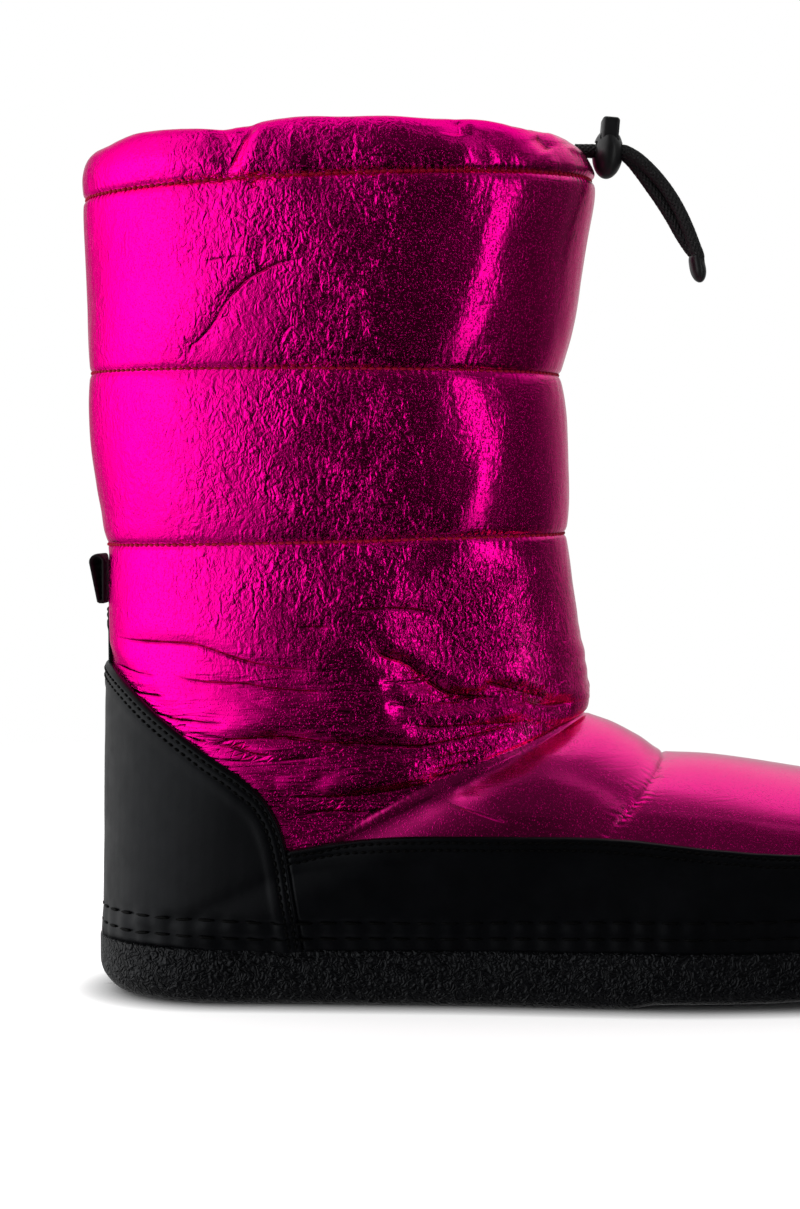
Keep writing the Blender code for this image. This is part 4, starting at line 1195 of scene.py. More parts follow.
def seam_fields(shifted, round_boot, up_boot, gathers):
    """Relief of the seams' grooves and gathers, and how deep the foil puckers beside them."""
    total = np.zeros_like(up_boot)
    pucker = np.zeros_like(up_boot)
    for row, groove, width, below, above, reach, pitch, puckers in SEAMS:
        at_seam = [np.interp(row, rows_here, up_here) for rows_here, up_here in zip(shifted.T, up_boot.T)]
        away = up_boot - np.array(at_seam)
        strip = up_boot / PLEAT_LENGTH + PLEAT_SHIFT * (away > 0)
        pleats = soft_noise(round_boot / pitch, strip, SEED + row)
        depth = np.where(away > 0, above, below) * gathers
        sewn = np.exp(-((away / width) ** 2))
        total = total - groove * sewn
        total = total + depth * pleats * np.exp(-np.abs(away) / reach) * (1 - SEWN_FLAT * sewn)
        pucker = pucker + puckers * np.exp(-np.abs(away) / PUCKER_REACH)
    return total, pucker


def foil_fields(grid, places, round_boot, up_boot, sizes):
    """Relief of the foil's crumples, gathers and folds, and the values that its material reads."""
    x, z = grid[..., 0], grid[..., 2]
    shifted = panel_places(grid, places)
    crumpled = panel_values(shifted, CRUMPLING)
    ankle = ramp(shifted, *ANKLE_ROWS)
    dents = foil_noise(round_boot, up_boot, DENT_SIZE, SEED) * (DENT_LEAST + (1 - DENT_LEAST) * crumpled)
    upright = ridges(foil_noise(round_boot, z, UPRIGHT_SIZE, SEED + 1))
    level = ridges(foil_noise(round_boot, z, LEVEL_SIZE, SEED + 2))
    bands = foil_noise(round_boot, z, BAND_SIZE, SEED + 3)
    crumple = sizes.crumple / MM * (upright * (1 - ankle) + LEVEL_DEPTH * level * ankle)
    total = DENT_DEPTH * dents * sizes.padding - (crumple + BAND_DEPTH * bands * ankle) * crumpled
    seams, pucker = seam_fields(shifted, round_boot, up_boot, sizes.gathers)
    total = total + seams
    middle = grid.shape[1] // 2
    gap, depth = np.zeros_like(total), np.zeros_like(total)
    for side, shift, share in (
        (slice(None, middle + 1), 0.0, 1.0),
        (slice(middle + 1, None), MEDIAL_SHIFT, MEDIAL_FOLDS),
    ):
        folds, gap[:, side], depth[:, side] = fold_fields(x[:, side], z[:, side], shift)
        total[:, side] += FOLD_SCALE * folds * sizes.folds * share
    front = ramp(x, *FRONT_ZONE)
    low = front * ramp(z, *LOW_ZONE) * ramp(shifted, *SHAFT_ROWS)
    slack = SLACK_HEEL + (1 - SLACK_HEEL) * ramp(x, *HEEL_ZONE)
    slack = slack * (1 - SLACK_FRONT * front) + SLACK_EDGE * ramp(x, *EDGE_ZONE)
    slack = np.maximum(np.maximum(slack, SLACK_LOW * low), SLACK_ANKLE * ankle)
    values = {
        "crumple": crumpled * slack,
        "level": np.maximum(ankle, LEVEL_FRONT * front) * (1 - LEVEL_LOW * low),
        "pucker": pucker,
        "gloss": np.maximum(VAMP_GLOSS * ramp(shifted, *VAMP_ROWS), FRONT_GLOSS * ramp(x, *SHINE_ZONE)),
        "fold_gap": gap,
        "crease_depth_and_shade": CREASE_SCALE * depth * sizes.folds,
    }
    return total, values


def even_back(values, round_boot):
    """Values made to agree along the back, where both ends of a row meet."""
    ends = (values[:, :1] + values[:, -1:]) / 2
    weight = smooth_step(1 - from_back(round_boot) / BACK_BLEND)
    return values * (1 - weight) + ends * weight


def rim_settling(x, places, round_boot):
    """How far the collar's upper rows rise and fall: lower at front and back, dipped once and waved."""
    collar = ramp(places, COLLAR_ROW, RIM_ROW)[:, None]
    front_x, _, back_x = SECTIONS[-1][:3]
    drop = RIM_DROP * np.abs((x - (front_x + back_x) / 2) / ((front_x - back_x) / 2)) ** RIM_POWER
    dip = RIM_DIP * np.exp(-(((x - DIP_STATION) / DIP_REACH) ** 2))
    waves = RIM_WAVE * soft_noise(round_boot / RIM_WAVE_SIZE, np.full_like(round_boot, 0.5), SEED + 40)
    return even_back((waves - drop - dip) * collar, round_boot)


def foil_grids(sizes):
    """The foil's outer and inner face, its rows' places and normals, and its points' values and cloth."""
    places, swelling = panel_rows([panel[FOIL_STEPS] for panel in PANELS])
    grid, normals = boot_surface(places, FOIL_COLUMNS)
    across = np.linalg.norm(np.diff(grid, axis=1), axis=-1)
    round_boot = np.concatenate([np.zeros((len(grid), 1)), np.cumsum(across, axis=1)], axis=1)
    round_boot = round_boot - round_boot[:, FOIL_COLUMNS:FOIL_COLUMNS + 1]
    upwards = np.linalg.norm(np.diff(grid, axis=0), axis=-1)
    up_boot = np.concatenate([np.zeros((1, grid.shape[1])), np.cumsum(upwards, axis=0)])
    fade = cover_fade(grid) * (1 - under_backstay(grid, round_boot))
    swell = np.interp(panel_places(grid, places), places, swelling)
    puff = swell * fade * back_swelling(grid) - hollow(grid)
    detail, values = foil_fields(grid, places, round_boot, up_boot, sizes)
    deepest = FOIL_WALL - LEAST_WALL
    detail = np.where(detail < 0, deepest * np.tanh(detail / deepest), detail) * fade
    detail[closed_rows(grid)] = even_back(detail, round_boot)[closed_rows(grid)]
    settle = rim_settling(grid[..., 0], places, round_boot)
    outer = grid + normals * (puff + detail)[..., None]
    inner = grid + normals * (puff - FOIL_WALL)[..., None]
    outer[..., 2] += settle
    inner[..., 2] += settle
    cloth = np.stack([round_boot, up_boot], axis=-1) * MM
    return outer, inner, places, normals, values, cloth


def with_inner(field):
    """A field over the foil's outer grid, and again over the coarser inner one, as one list of points."""
    width = field.shape[2:]
    inner = field[::INNER_ROWS, ::INNER_COLUMNS]
    return np.concatenate([field.reshape(-1, *width), inner.reshape(-1, *width)])


def quilt_row(outer, normals, places, row):
    """Points along one seam of the foil, lifted off it by half a thread or so."""
    at_row = int(np.argmin(np.abs(places - row)))
    return outer[at_row] + normals[at_row] * QUILT_STITCH[2]


# Stitching

def stitch_tree():
    """Geometry nodes that lay one stitch after another along the edges of a mesh."""
    tree = bpy.data.node_groups.new("Stitch rows", "GeometryNodeTree")
    sockets = {}
    for name, kind in (
        ("Rows", "NodeSocketGeometry"), ("Pitch", "NodeSocketFloat"), ("Length", "NodeSocketFloat"),
        ("Thickness", "NodeSocketFloat"), ("Thread", "NodeSocketMaterial"),
    ):
        sockets[name] = tree.interface.new_socket(name, in_out="INPUT", socket_type=kind).identifier
    tree.interface.new_socket("Stitches", in_out="OUTPUT", socket_type="NodeSocketGeometry")
    nodes, links = tree.nodes, tree.links
    given = nodes.new("NodeGroupInput")
    made = nodes.new("NodeGroupOutput")
    curve = nodes.new("GeometryNodeMeshToCurve")
    points = nodes.new("GeometryNodeCurveToPoints")
    points.mode = "LENGTH"
    turn = nodes.new("FunctionNodeAlignRotationToVector")
    turn.axis = "X"
    stitch = nodes.new("GeometryNodeMeshUVSphere")
    stitch.inputs["Segments"].default_value = 6
    stitch.inputs["Rings"].default_value = 5
    stitch.inputs["Radius"].default_value = 0.5
    size = nodes.new("ShaderNodeCombineXYZ")
    placing = nodes.new("GeometryNodeInstanceOnPoints")
    realise = nodes.new("GeometryNodeRealizeInstances")
    smooth = nodes.new("GeometryNodeSetShadeSmooth")
    finish = nodes.new("GeometryNodeSetMaterial")
    for source, target in (
        (given.outputs["Rows"], curve.inputs["Mesh"]),
        (curve.outputs["Curve"], points.inputs["Curve"]),
        (given.outputs["Pitch"], points.inputs["Length"]),
        (points.outputs["Tangent"], turn.inputs["Vector"]),
        (points.outputs["Points"], placing.inputs["Points"]),
        (stitch.outputs["Mesh"], placing.inputs["Instance"]),
        (turn.outputs["Rotation"], placing.inputs["Rotation"]),
        (given.outputs["Length"], size.inputs["X"]),
        (given.outputs["Thickness"], size.inputs["Y"]),
        (given.outputs["Thickness"], size.inputs["Z"]),
        (size.outputs["Vector"], placing.inputs["Scale"]),
        (placing.outputs["Instances"], realise.inputs["Geometry"]),
        (realise.outputs["Geometry"], smooth.inputs["Geometry"]),
        (smooth.outputs["Geometry"], finish.inputs["Geometry"]),
        (given.outputs["Thread"], finish.inputs["Material"]),
        (finish.outputs["Geometry"], made.inputs["Stitches"]),
    ):
        links.new(source, target)
    return tree, sockets


def sew(name, rows, pitch, stitch, thread, slot):
    """Stitches along rows of points, as one plain mesh on the boot."""
    tree, sockets = stitch_tree()
    length, thickness, _ = stitch
    points = np.concatenate(rows)
    edges, first = [], 0
    for row in rows:
        edges += [(point, point + 1) for point in range(first, first + len(row) - 1)]
        first += len(row)
    guide_mesh = bpy.data.meshes.new(f"{name}_rows")
    guide_mesh.from_pydata(placed(points).tolist(), edges, [])
    guide = new_object(f"{name}_rows", guide_mesh, thread)
    modifier = guide.modifiers.new("Stitches", "NODES")
    modifier.node_group = tree
    modifier[sockets["Pitch"]] = pitch
    modifier[sockets["Length"]] = length * MM
    modifier[sockets["Thickness"]] = thickness * MM
    modifier[sockets["Thread"]] = thread
    mesh = evaluated_mesh(guide)
    mesh.name = name
    bpy.data.objects.remove(guide, do_unlink=True)
    attach(new_object(name, mesh, thread), slot)


# Sole, footbed, strap, cord and lock

def footprint_loop(shares, inset):
    """Both sides of the footprint at shares of its length, from toe to heel: x, lateral y, medial y."""
    x = inset + (SOLE_LENGTH - 2 * inset) * shares
    lateral = centre_line(x) - half_width(x, LATERAL, inset)
    medial = centre_line(x) + half_width(x, MEDIAL, inset)
    return x, lateral, medial


def sole_shares():
    """Stations along the sole, with a pair at each edge of every tread groove."""
    even = (1 + np.cos(np.linspace(0.0, math.pi, SOLE_STATIONS))) / 2
    inset = SOLE_SIDE[-1][0]
    edges = []
    for groove in GROOVES:
        for offset in (-GROOVE_WIDTH / 2, -GROOVE_WIDTH / 2 + GROOVE_SLOPE):
            edges += [groove + offset, groove - offset]
    shares = (np.array(edges) - inset) / (SOLE_LENGTH - 2 * inset)
    clear = np.abs(even[:, None] - shares[None]).min(axis=1) > STATION_GAP / SOLE_LENGTH
    return np.sort(np.concatenate([even[clear | (even == 0) | (even == 1)], shares]))[::-1]


def groove_height(x):
    """How far the tread is cut up into the sole at a station."""
    depth = np.zeros_like(x)
    for groove in GROOVES:
        away = GROOVE_WIDTH / 2 - np.abs(x - groove)
        depth = np.maximum(depth, GROOVE_DEPTH * np.clip(away / GROOVE_SLOPE, 0.0, 1.0))
    return depth


def across_grid(x, lateral, medial, height, count):
    """Grid of points from side to side at each station, at a height by station and share of half width."""
    share = np.linspace(0.0, 1.0, count + 1)[None, :]
    x = x[:, None]
    y = lateral[:, None] * (1 - share) + medial[:, None] * share
    return np.stack(np.broadcast_arrays(x, y, height(x, 2 * share - 1)), axis=-1)


def footprint_piece(name, levels, shares, top, bottom, across, material):
    """A closed form over the footprint: grids across its top and bottom, and levels of its side between."""
    grids = []
    for (inset, _), height in zip((levels[0], levels[-1]), (top, bottom)):
        grids.append(across_grid(*footprint_loop(shares, inset), height, across))
    points = [grid.reshape(-1, 3) for grid in grids]
    faces, first = [], 0
    for grid in grids:
        faces += grid_faces(first + np.arange(grid.shape[0] * grid.shape[1]).reshape(grid.shape[:2]))
        first += grid.shape[0] * grid.shape[1]
    rings = []
    for inset, height in levels:
        x, lateral, medial = footprint_loop(shares, inset)
        z = height(x)
        there, back = np.stack([x, lateral, z], axis=-1), np.stack([x, medial, z], axis=-1)
        rings.append(np.concatenate([there, back[::-1]]))
    count = len(rings[0])
    index = first + np.arange(len(rings) * count).reshape(len(rings), count)
    faces += grid_faces(np.concatenate([index, index[:, :1]], axis=1))
    return new_piece(name, np.concatenate(points + rings), faces, material)


def sole_levels():
    """The sole's side from top to bottom as (inset, height at x) pairs."""
    last = len(SOLE_SIDE) - 1
    table = smooth_rows(range(last + 1), SOLE_SIDE, np.linspace(0, last, SOLE_SUBDIVISIONS * last + 1))
    levels = []
    for inset, base, lifted in table:
        def height(x, base=base, lifted=lifted):
            return base + FOREFOOT_LIFT * lifted * ramp(x, LIFT_START, LIFT_END) + spring(x)
        levels.append((inset, height))
    return levels


def strap_outline(front, foot, top, depth):
    """Middle line of the folded strap seen from the side, closed: up, over the fold and down again."""
    inset = LOOP_STRAP / 2
    front, top, foot = front - inset, top - inset, foot + inset
    radius = depth / 2 - inset
    turns = np.linspace(0.0, math.pi, BEND_POINTS)
    fold = (front - radius, top - radius) + radius * np.stack([np.cos(turns), np.sin(turns)], axis=-1)
    line = np.concatenate([[(front, foot)], fold, [(front - LOOP_FOOT_DEPTH + LOOP_STRAP, foot)]])
    return even_steps(np.concatenate([line, line[:1]]), LOOP_POINTS)[:-1]


def path_frames(path):
    """Two directions across a path at each of its points, carried along it without twist."""
    tangents = np.gradient(path, axis=0)
    tangents /= np.linalg.norm(tangents, axis=1, keepdims=True)
    side = np.cross(tangents[0], (0.0, 1.0, 0.0))
    sides = []
    for tangent in tangents:
        side = side - tangent * (side @ tangent)
        side = side / np.linalg.norm(side)
        sides.append(side)
    sides = np.array(sides)
    return sides, np.cross(tangents, sides)


def braided_cord(name, route, diameter, material):
    """A cord of raised strands that cross in two directions along a route, and the path that it takes."""
    path = smooth_path(route, CORD_STEP)
    first, second = path_frames(path)
    turn = np.linspace(0.0, 2 * math.pi, CORD_AROUND, endpoint=False)[None, :]
    twist = 2 * math.pi * lengths(path)[:, None] / BRAID_PITCH
    strands = np.maximum(np.cos(BRAID_STRANDS * turn + 2 * twist), np.cos(BRAID_STRANDS * turn - 2 * twist))
    radius = diameter / 2 + BRAID_LIFT * strands
    rings = path[:, None] + radius[..., None] * (
        np.cos(turn)[..., None] * first[:, None] + np.sin(turn)[..., None] * second[:, None]
    )
    return new_piece(name, *tube(rings), material), path


def rounded_block(low, high, radius, segments):
    """A box between two corners with its edges rounded, in metres about its own origin."""
    mesh = bpy.data.meshes.new("block")
    work = bmesh.new()
    bmesh.ops.create_cube(work, size=MM)
    bmesh.ops.scale(work, vec=np.subtract(high, low).tolist(), verts=work.verts)
    bmesh.ops.translate(work, vec=(np.add(high, low) / 2 * MM).tolist(), verts=work.verts)
    if radius:
        bmesh.ops.bevel(
            work, geom=work.edges[:], offset=radius * MM, segments=segments, profile=0.5, affect="EDGES",
            clamp_overlap=True,
        )
    work.to_mesh(mesh)
    work.free()
    return bpy.data.objects.new("block", mesh)


def cut_from(obj, cutters):
    """Cuts helpers out of an object, and removes them."""
    for cutter in cutters:
        bpy.context.scene.collection.objects.link(cutter)
        modifier = obj.modifiers.new("Cut", "BOOLEAN")
        modifier.operation = "DIFFERENCE"
        modifier.solver = "EXACT"
        modifier.object = cutter
    mesh = evaluated_mesh(obj)
    obj.modifiers.clear()
    obj.data = mesh
    for cutter in cutters:
        bpy.data.objects.remove(cutter, do_unlink=True)


def set_in_place(mesh, place, tilt):
    """Tilts a mesh made about its own middle, moves it to its place and shades it smooth."""
    mesh.transform(Matrix.Translation(placed(place)) @ Euler((0.0, tilt, 0.0)).to_matrix().to_4x4())
    mesh.shade_smooth()


# Settings

class BootieSizes(bpy.types.PropertyGroup):
    """Sizes of the soft detail."""

    padding: bpy.props.FloatProperty(
        name="Padding unevenness", description="Share of the padding's soft dents",
        default=1.0, min=0.0, max=2.0,
    )
    crumple: bpy.props.FloatProperty(
        name="Crumple depth", description="Depth of the foil's small crumples",
        default=0.00022, unit="LENGTH",
    )
    gathers: bpy.props.FloatProperty(
        name="Gathers", description="Share of the pleats beside the seams",
        default=1.0, min=0.0, max=2.0,
    )
    folds: bpy.props.FloatProperty(
        name="Folds", description="Share of the folds at ankle, shaft and collar",
        default=1.0, min=0.0, max=2.0,
    )
    cord_diameter: bpy.props.FloatProperty(
        name="Drawcord diameter", description="Diameter of the braided cord",
        default=0.0034, unit="LENGTH",
    )
    quilt_pitch: bpy.props.FloatProperty(
        name="Quilting pitch", description="Distance between quilting stitches",
        default=0.0023, unit="LENGTH",
    )
    edge_pitch: bpy.props.FloatProperty(
        name="Edge pitch", description="Distance between the overlays' stitches",
        default=0.0025, unit="LENGTH",
    )
    sole_pitch: bpy.props.FloatProperty(
        name="Sole pitch", description="Distance between the large stitches over the sole",
        default=0.0072, unit="LENGTH",
    )


class BootieColours(bpy.types.PropertyGroup):
    """Base colours of the finishes."""

    foil: bpy.props.FloatVectorProperty(
        name="Foil", description="Colour of the foil film",
        default=(0.95, 0.001, 0.29), subtype="COLOR", size=3,
    )
    overlay: bpy.props.FloatVectorProperty(
        name="Overlay", description="Colour of counter, rand and backstay",
        default=(0.0012, 0.0013, 0.0018), subtype="COLOR", size=3,
    )
    rubber: bpy.props.FloatVectorProperty(
        name="Rubber", description="Colour of the sole",
        default=(0.0014, 0.0014, 0.0019), subtype="COLOR", size=3,
    )
    felt: bpy.props.FloatVectorProperty(
        name="Fleece", description="Colour of lining and footbed",
        default=(0.018, 0.018, 0.02), subtype="COLOR", size=3,
    )
    webbing: bpy.props.FloatVectorProperty(
        name="Webbing", description="Colour of the pull loop",
        default=(0.008, 0.008, 0.009), subtype="COLOR", size=3,
    )
    cord: bpy.props.FloatVectorProperty(
        name="Cord", description="Colour of the drawcord",
        default=(0.004, 0.004, 0.005), subtype="COLOR", size=3,
    )
    plastic: bpy.props.FloatVectorProperty(
        name="Plastic", description="Colour of cord lock and end sleeve",
        default=(0.01, 0.01, 0.011), subtype="COLOR", size=3,
    )
    quilt_thread: bpy.props.FloatVectorProperty(
        name="Quilting thread", description="Colour of the quilting stitches",
        default=(0.36, 0.004, 0.03), subtype="COLOR", size=3,
    )
    edge_thread: bpy.props.FloatVectorProperty(
        name="Edge thread", description="Colour of the overlays' stitches",
        default=(0.001, 0.001, 0.001), subtype="COLOR", size=3,
    )


def settings():
    scene = bpy.context.scene
    return scene.bootie_sizes, scene.bootie_colours


# Operators

class BOOTIE_OT_stage(bpy.types.Operator):
    """Adds the camera, the soft light all round and the floor"""

    bl_idname = "bootie.stage"
    bl_label = "Stage"

    def execute(self, context):
        scene = context.scene
        scene.view_settings.view_transform = "Standard"
        scene.view_settings.look = "None"
        lens = bpy.data.cameras.new("Camera")
        lens.sensor_width = SENSOR
        lens.lens = FOCAL_PIXELS * SENSOR / FRAME_HEIGHT
        camera = bpy.data.objects.new("Camera", lens)
        camera.location = placed(CAMERA_PLACE)
        camera.rotation_euler = (math.pi / 2 - CAMERA_TILT, 0.0, 0.0)
        scene.collection.objects.link(camera)
        scene.camera = camera
        self.surround(scene)
        self.lay_floor()
        return {"FINISHED"}

    def surround(self, scene):
        """A studio of soft light all round, which the camera itself sees as white."""
        world = scene.world or bpy.data.worlds.new("World")
        scene.world = world
        world.use_nodes = True
        world.node_tree.nodes.clear()
        facing = add_node(world, "ShaderNodeTexCoord").outputs["Generated"]
        parts = add_node(world, "ShaderNodeSeparateXYZ", {"Vector": facing}).outputs
        turn = calculate(world, "ARCTAN2", parts["X"], calculate(world, "MULTIPLY", parts["Y"], -1.0))
        turn = spread(world, turn, 0.0, 1.0, -math.pi, math.pi)
        bands = []
        for column in (1, 2):
            band = add_node(world, "ShaderNodeValToRGB", {"Fac": turn})
            stops = band.color_ramp.elements
            stops.remove(stops[1])
            for number, row in enumerate(STUDIO):
                place = (row[0] + 180.0) / 360.0
                stop = stops[0] if number == 0 else stops.new(place)
                stop.position = place
                stop.color = (*[row[column] / STUDIO_SCALE] * 3, 1.0)
            bands.append(calculate(world, "MULTIPLY", band.outputs["Color"], STUDIO_SCALE))
        under, low, high = np.sin(np.radians((UNDER_LIGHT, LOW_LIGHT, HIGH_LIGHT))).tolist()
        dimmed = spread(world, parts["Z"], UNDERNEATH, 1.0, start=under[1], end=under[0])
        radiance = calculate(world, "MULTIPLY", bands[0], dimmed)
        for (start, end), band in ((low, bands[1]), (high, CEILING)):
            share = spread(world, parts["Z"], 0.0, 1.0, start, end)
            kept = calculate(world, "MULTIPLY", radiance, calculate(world, "SUBTRACT", 1.0, share))
            radiance = calculate(world, "MULTIPLY_ADD", share, band, kept)
        white = add_node(world, "ShaderNodeLightPath").outputs["Is Camera Ray"]
        light = calculate(world, "MAXIMUM", radiance, white)
        studio = add_node(world, "ShaderNodeBackground", {"Color": (1.0, 1.0, 1.0, 1.0), "Strength": light})
        made = add_node(world, "ShaderNodeOutputWorld")
        world.node_tree.links.new(studio.outputs["Background"], made.inputs["Surface"])

    def lay_floor(self):
        """A pale glowing disc, darker close under the sole partly by real shade on its diffuse face and
        partly by a contact shadow painted into its glow, that fades into the white towards its rim.
        """
        mesh = bpy.data.meshes.new("Floor")
        work = bmesh.new()
        bmesh.ops.create_circle(work, cap_ends=True, segments=64, radius=FLOOR_RADIUS)
        work.to_mesh(mesh)
        work.free()
        material = new_material("Pale floor", [FLOOR_WHITE] * 3, FLOOR_ROUGHNESS, more={
            "Specular IOR Level": 0.0, "Emission Color": (1.0, 1.0, 1.0, 1.0),
        })
        nodes, links = material.node_tree.nodes, material.node_tree.links
        shader = nodes["Principled BSDF"]
        # Painted contact shadow: the floor's glow is darkened where ambient occlusion finds the sole close
        # by
        shaded = add_node(material, "ShaderNodeAmbientOcclusion", {"Distance": CONTACT_SHADOW_REACH}, samples=16)
        lit = calculate(material, "POWER", shaded.outputs["AO"], CONTACT_SHADOW_POWER)
        links.new(calculate(material, "MULTIPLY", lit, FLOOR_GLOW), shader.inputs["Emission Strength"])
        place = object_coordinates(material)
        away = add_node(material, "ShaderNodeVectorMath", {0: place}, operation="LENGTH")
        clear = add_node(material, "ShaderNodeMapRange", {
            "Value": away.outputs["Value"],
            "From Min": FLOOR_FADE[0] * FLOOR_RADIUS,
            "From Max": FLOOR_FADE[1] * FLOOR_RADIUS,
        }, interpolation_type="SMOOTHSTEP")
        through = nodes.new("ShaderNodeBsdfTransparent")
        mixed = nodes.new("ShaderNodeMixShader")
        links.new(clear.outputs["Result"], mixed.inputs["Fac"])
        links.new(shader.outputs["BSDF"], mixed.inputs[1])
        links.new(through.outputs["BSDF"], mixed.inputs[2])
        links.new(mixed.outputs["Shader"], nodes["Material Output"].inputs["Surface"])
        floor = new_object("Floor", mesh, material)
        floor.visible_glossy = False
        floor.visible_shadow = False


class BOOTIE_OT_drawcord(bpy.types.Operator):
    """Adds the two braided cord ends and the sleeve that joins them"""

    bl_idname = "bootie.drawcord"
    bl_label = "Drawcord"

    def execute(self, context):
        sizes, colours = settings()
        braid = thread_material("Braided cord", colours.cord, gloss=0.8)
        ends = np.array([route[-1] for route in CORD_ROUTES.values()]).mean(axis=0)
        mesh = bpy.data.meshes.new("end_sleeve")
        work = bmesh.new()
        bmesh.ops.create_uvsphere(work, u_segments=32, v_segments=20, radius=MM)
        for point in work.verts:
            across = math.hypot(point.co.x, point.co.y) / MM
            if point.co.z > 0 and across > WELD:
                point.co.xy *= across ** -TIP_CUP
        bmesh.ops.scale(work, vec=TIP_HALF, verts=work.verts)
        work.to_mesh(mesh)
        work.free()
        set_in_place(mesh, ends + (0.0, 0.0, TIP_RISE), TIP_TILT)
        tip = new_object("end_sleeve", mesh, plastic_material(colours.plastic))
        attach(tip, "black_plastic", "drawcord_tip")
        middle = np.mean(list(CORD_ROUTES.values()), axis=0)
        for name, route in CORD_ROUTES.items():
            route = np.array(route)
            nearer = CORD_CLOSE * np.sin(np.linspace(0.0, math.pi, len(route)))[:, None]
            route = route + (middle - route) * nearer * (1.0, 0.0, 1.0)
            route[-2:, 1] *= CORD_PINCH
            strand, path = braided_cord(f"{name}_braid", route, sizes.cord_diameter / MM, braid)
            attach(strand, "black_cord", name)
        return {"FINISHED"}


class BOOTIE_OT_cord_lock(bpy.types.Operator):
    """Adds the cord lock's body and its sprung button"""

    bl_idname = "bootie.cord_lock"
    bl_label = "Cord lock"

    def execute(self, context):
        sizes, colours = settings()
        material = plastic_material(colours.plastic)
        half_x, half_y = (size / 2 for size in BUTTON_SIZE)
        cord = sizes.cord_diameter / MM
        half_window = (CORD_SPACING + cord) / 2 + SLOT_CLEARANCE
        cord_low = CORD_HEIGHT - LOCK_Z - cord / 2 - TUNNEL_CLEARANCE
        cord_high = CORD_HEIGHT - LOCK_Z + cord / 2 + TUNNEL_CLEARANCE
        mesh = bpy.data.meshes.new("lock_body")
        work = bmesh.new()
        bmesh.ops.create_uvsphere(work, u_segments=48, v_segments=32, radius=MM)
        bmesh.ops.scale(work, vec=LOCK_HALF, verts=work.verts)
        work.to_mesh(mesh)
        work.free()
        body = new_object("lock_body", mesh, material)
        reach = 2 * LOCK_HALF[0]
        bore_foot = BUTTON_FOOT - BUTTON_TRAVEL - BUTTON_CLEARANCE
        bore_x, bore_y = half_x + BUTTON_CLEARANCE, half_y + BUTTON_CLEARANCE
        bore_low, bore_high = (-bore_x, -bore_y, bore_foot), (bore_x, bore_y, 2 * BUTTON_TOP)
        tunnel_low, tunnel_high = (-reach, -half_window, cord_low), (reach, half_window, cord_high)
        cut_from(body, [
            rounded_block(bore_low, bore_high, BUTTON_ROUND, BORE_SEGMENTS),
            rounded_block(tunnel_low, tunnel_high, cord / 4, BORE_SEGMENTS),
        ])
        set_in_place(body.data, (LOCK_X, 0.0, LOCK_Z), LOCK_TILT)
        body.data.set_sharp_from_angle(angle=SHARP_ANGLE)
        attach(body, "black_plastic", "cord_lock_body")
        low, high = (-half_x, -half_y, BUTTON_FOOT), (half_x, half_y, BUTTON_TOP)
        block = rounded_block(low, high, BUTTON_ROUND, BUTTON_SEGMENTS)
        button = new_object("lock_button_paddle", block.data, material)
        bpy.data.objects.remove(block)
        low = (-reach, -half_window, BUTTON_FOOT - BUTTON_TOP)
        high = (reach, half_window, cord_high + BUTTON_TRAVEL)
        cut_from(button, [rounded_block(low, high, 0, 1)])
        set_in_place(button.data, (LOCK_X, 0.0, LOCK_Z), LOCK_TILT)
        button.data.set_sharp_from_angle(angle=SHARP_ANGLE)
        attach(button, "black_plastic", "cord_lock_button", body=LOCK_BUTTON)
        return {"FINISHED"}


class BOOTIE_OT_foil_upper(bpy.types.Operator):
    """Adds the padded foil upper with its seams, gathers and folds, and its quilting stitches"""

    bl_idname = "bootie.foil_upper"
    bl_label = "Foil upper"

    def execute(self, context):
        sizes, colours = settings()
        outer, inner, places, normals, values, cloth = foil_grids(sizes)
        first_closed = int(np.argmax(closed_rows(inner)))
        inner = inner[::INNER_ROWS, ::INNER_COLUMNS]
        points, faces = boot_shell(outer, inner, first_closed, INNER_ROWS, INNER_COLUMNS)
        values = {key: with_inner(field) for key, field in values.items()}
        film = foil_material(colours.foil)
        upper = new_piece("foil_upper", points, faces, film, values, with_inner(cloth))
        attach(upper, "foil_fabric", "upper")
        thread = thread_material("Quilting thread", colours.quilt_thread, gloss=0.08)
        rows = [quilt_row(outer, normals, places, row) for row in QUILT_ROWS]
        sew("quilting_stitches", rows, sizes.quilt_pitch, QUILT_STITCH, thread, "foil_fabric")
        return {"FINISHED"}


class BOOTIE_OT_fleece_lining(bpy.types.Operator):
    """Adds the fleece lining inside the foil"""

    bl_idname = "bootie.fleece_lining"
    bl_label = "Fleece lining"

    def execute(self, context):
        _, colours = settings()
        places, swelling = panel_rows([panel[LINING_STEPS] for panel in PANELS])
        grid, normals = boot_surface(places, LINING_COLUMNS)
        kept = places <= LINING_TOP
        grid, normals = grid[kept], normals[kept]
        puff = swelling[kept, None] * cover_fade(grid) * back_swelling(grid) - hollow(grid)
        x, y, z = np.moveaxis(grid / PILE_SIZE, -1, 0)
        pile = PILE * soft_noise(x + y, z, SEED + 60)
        pile[:, [0, -1]] = 0.0
        outer = grid + normals * (puff + LINING_OUTER)[..., None]
        inner = grid + normals * (puff + LINING_INNER + pile)[..., None]
        first_closed = int(np.argmax(closed_rows(grid)))
        points, faces = boot_shell(outer, inner, first_closed, 1, 1)
        lining = new_piece("fleece_lining", points, faces, felt_material(colours.felt))
        attach(lining, "black_felt")
        return {"FINISHED"}


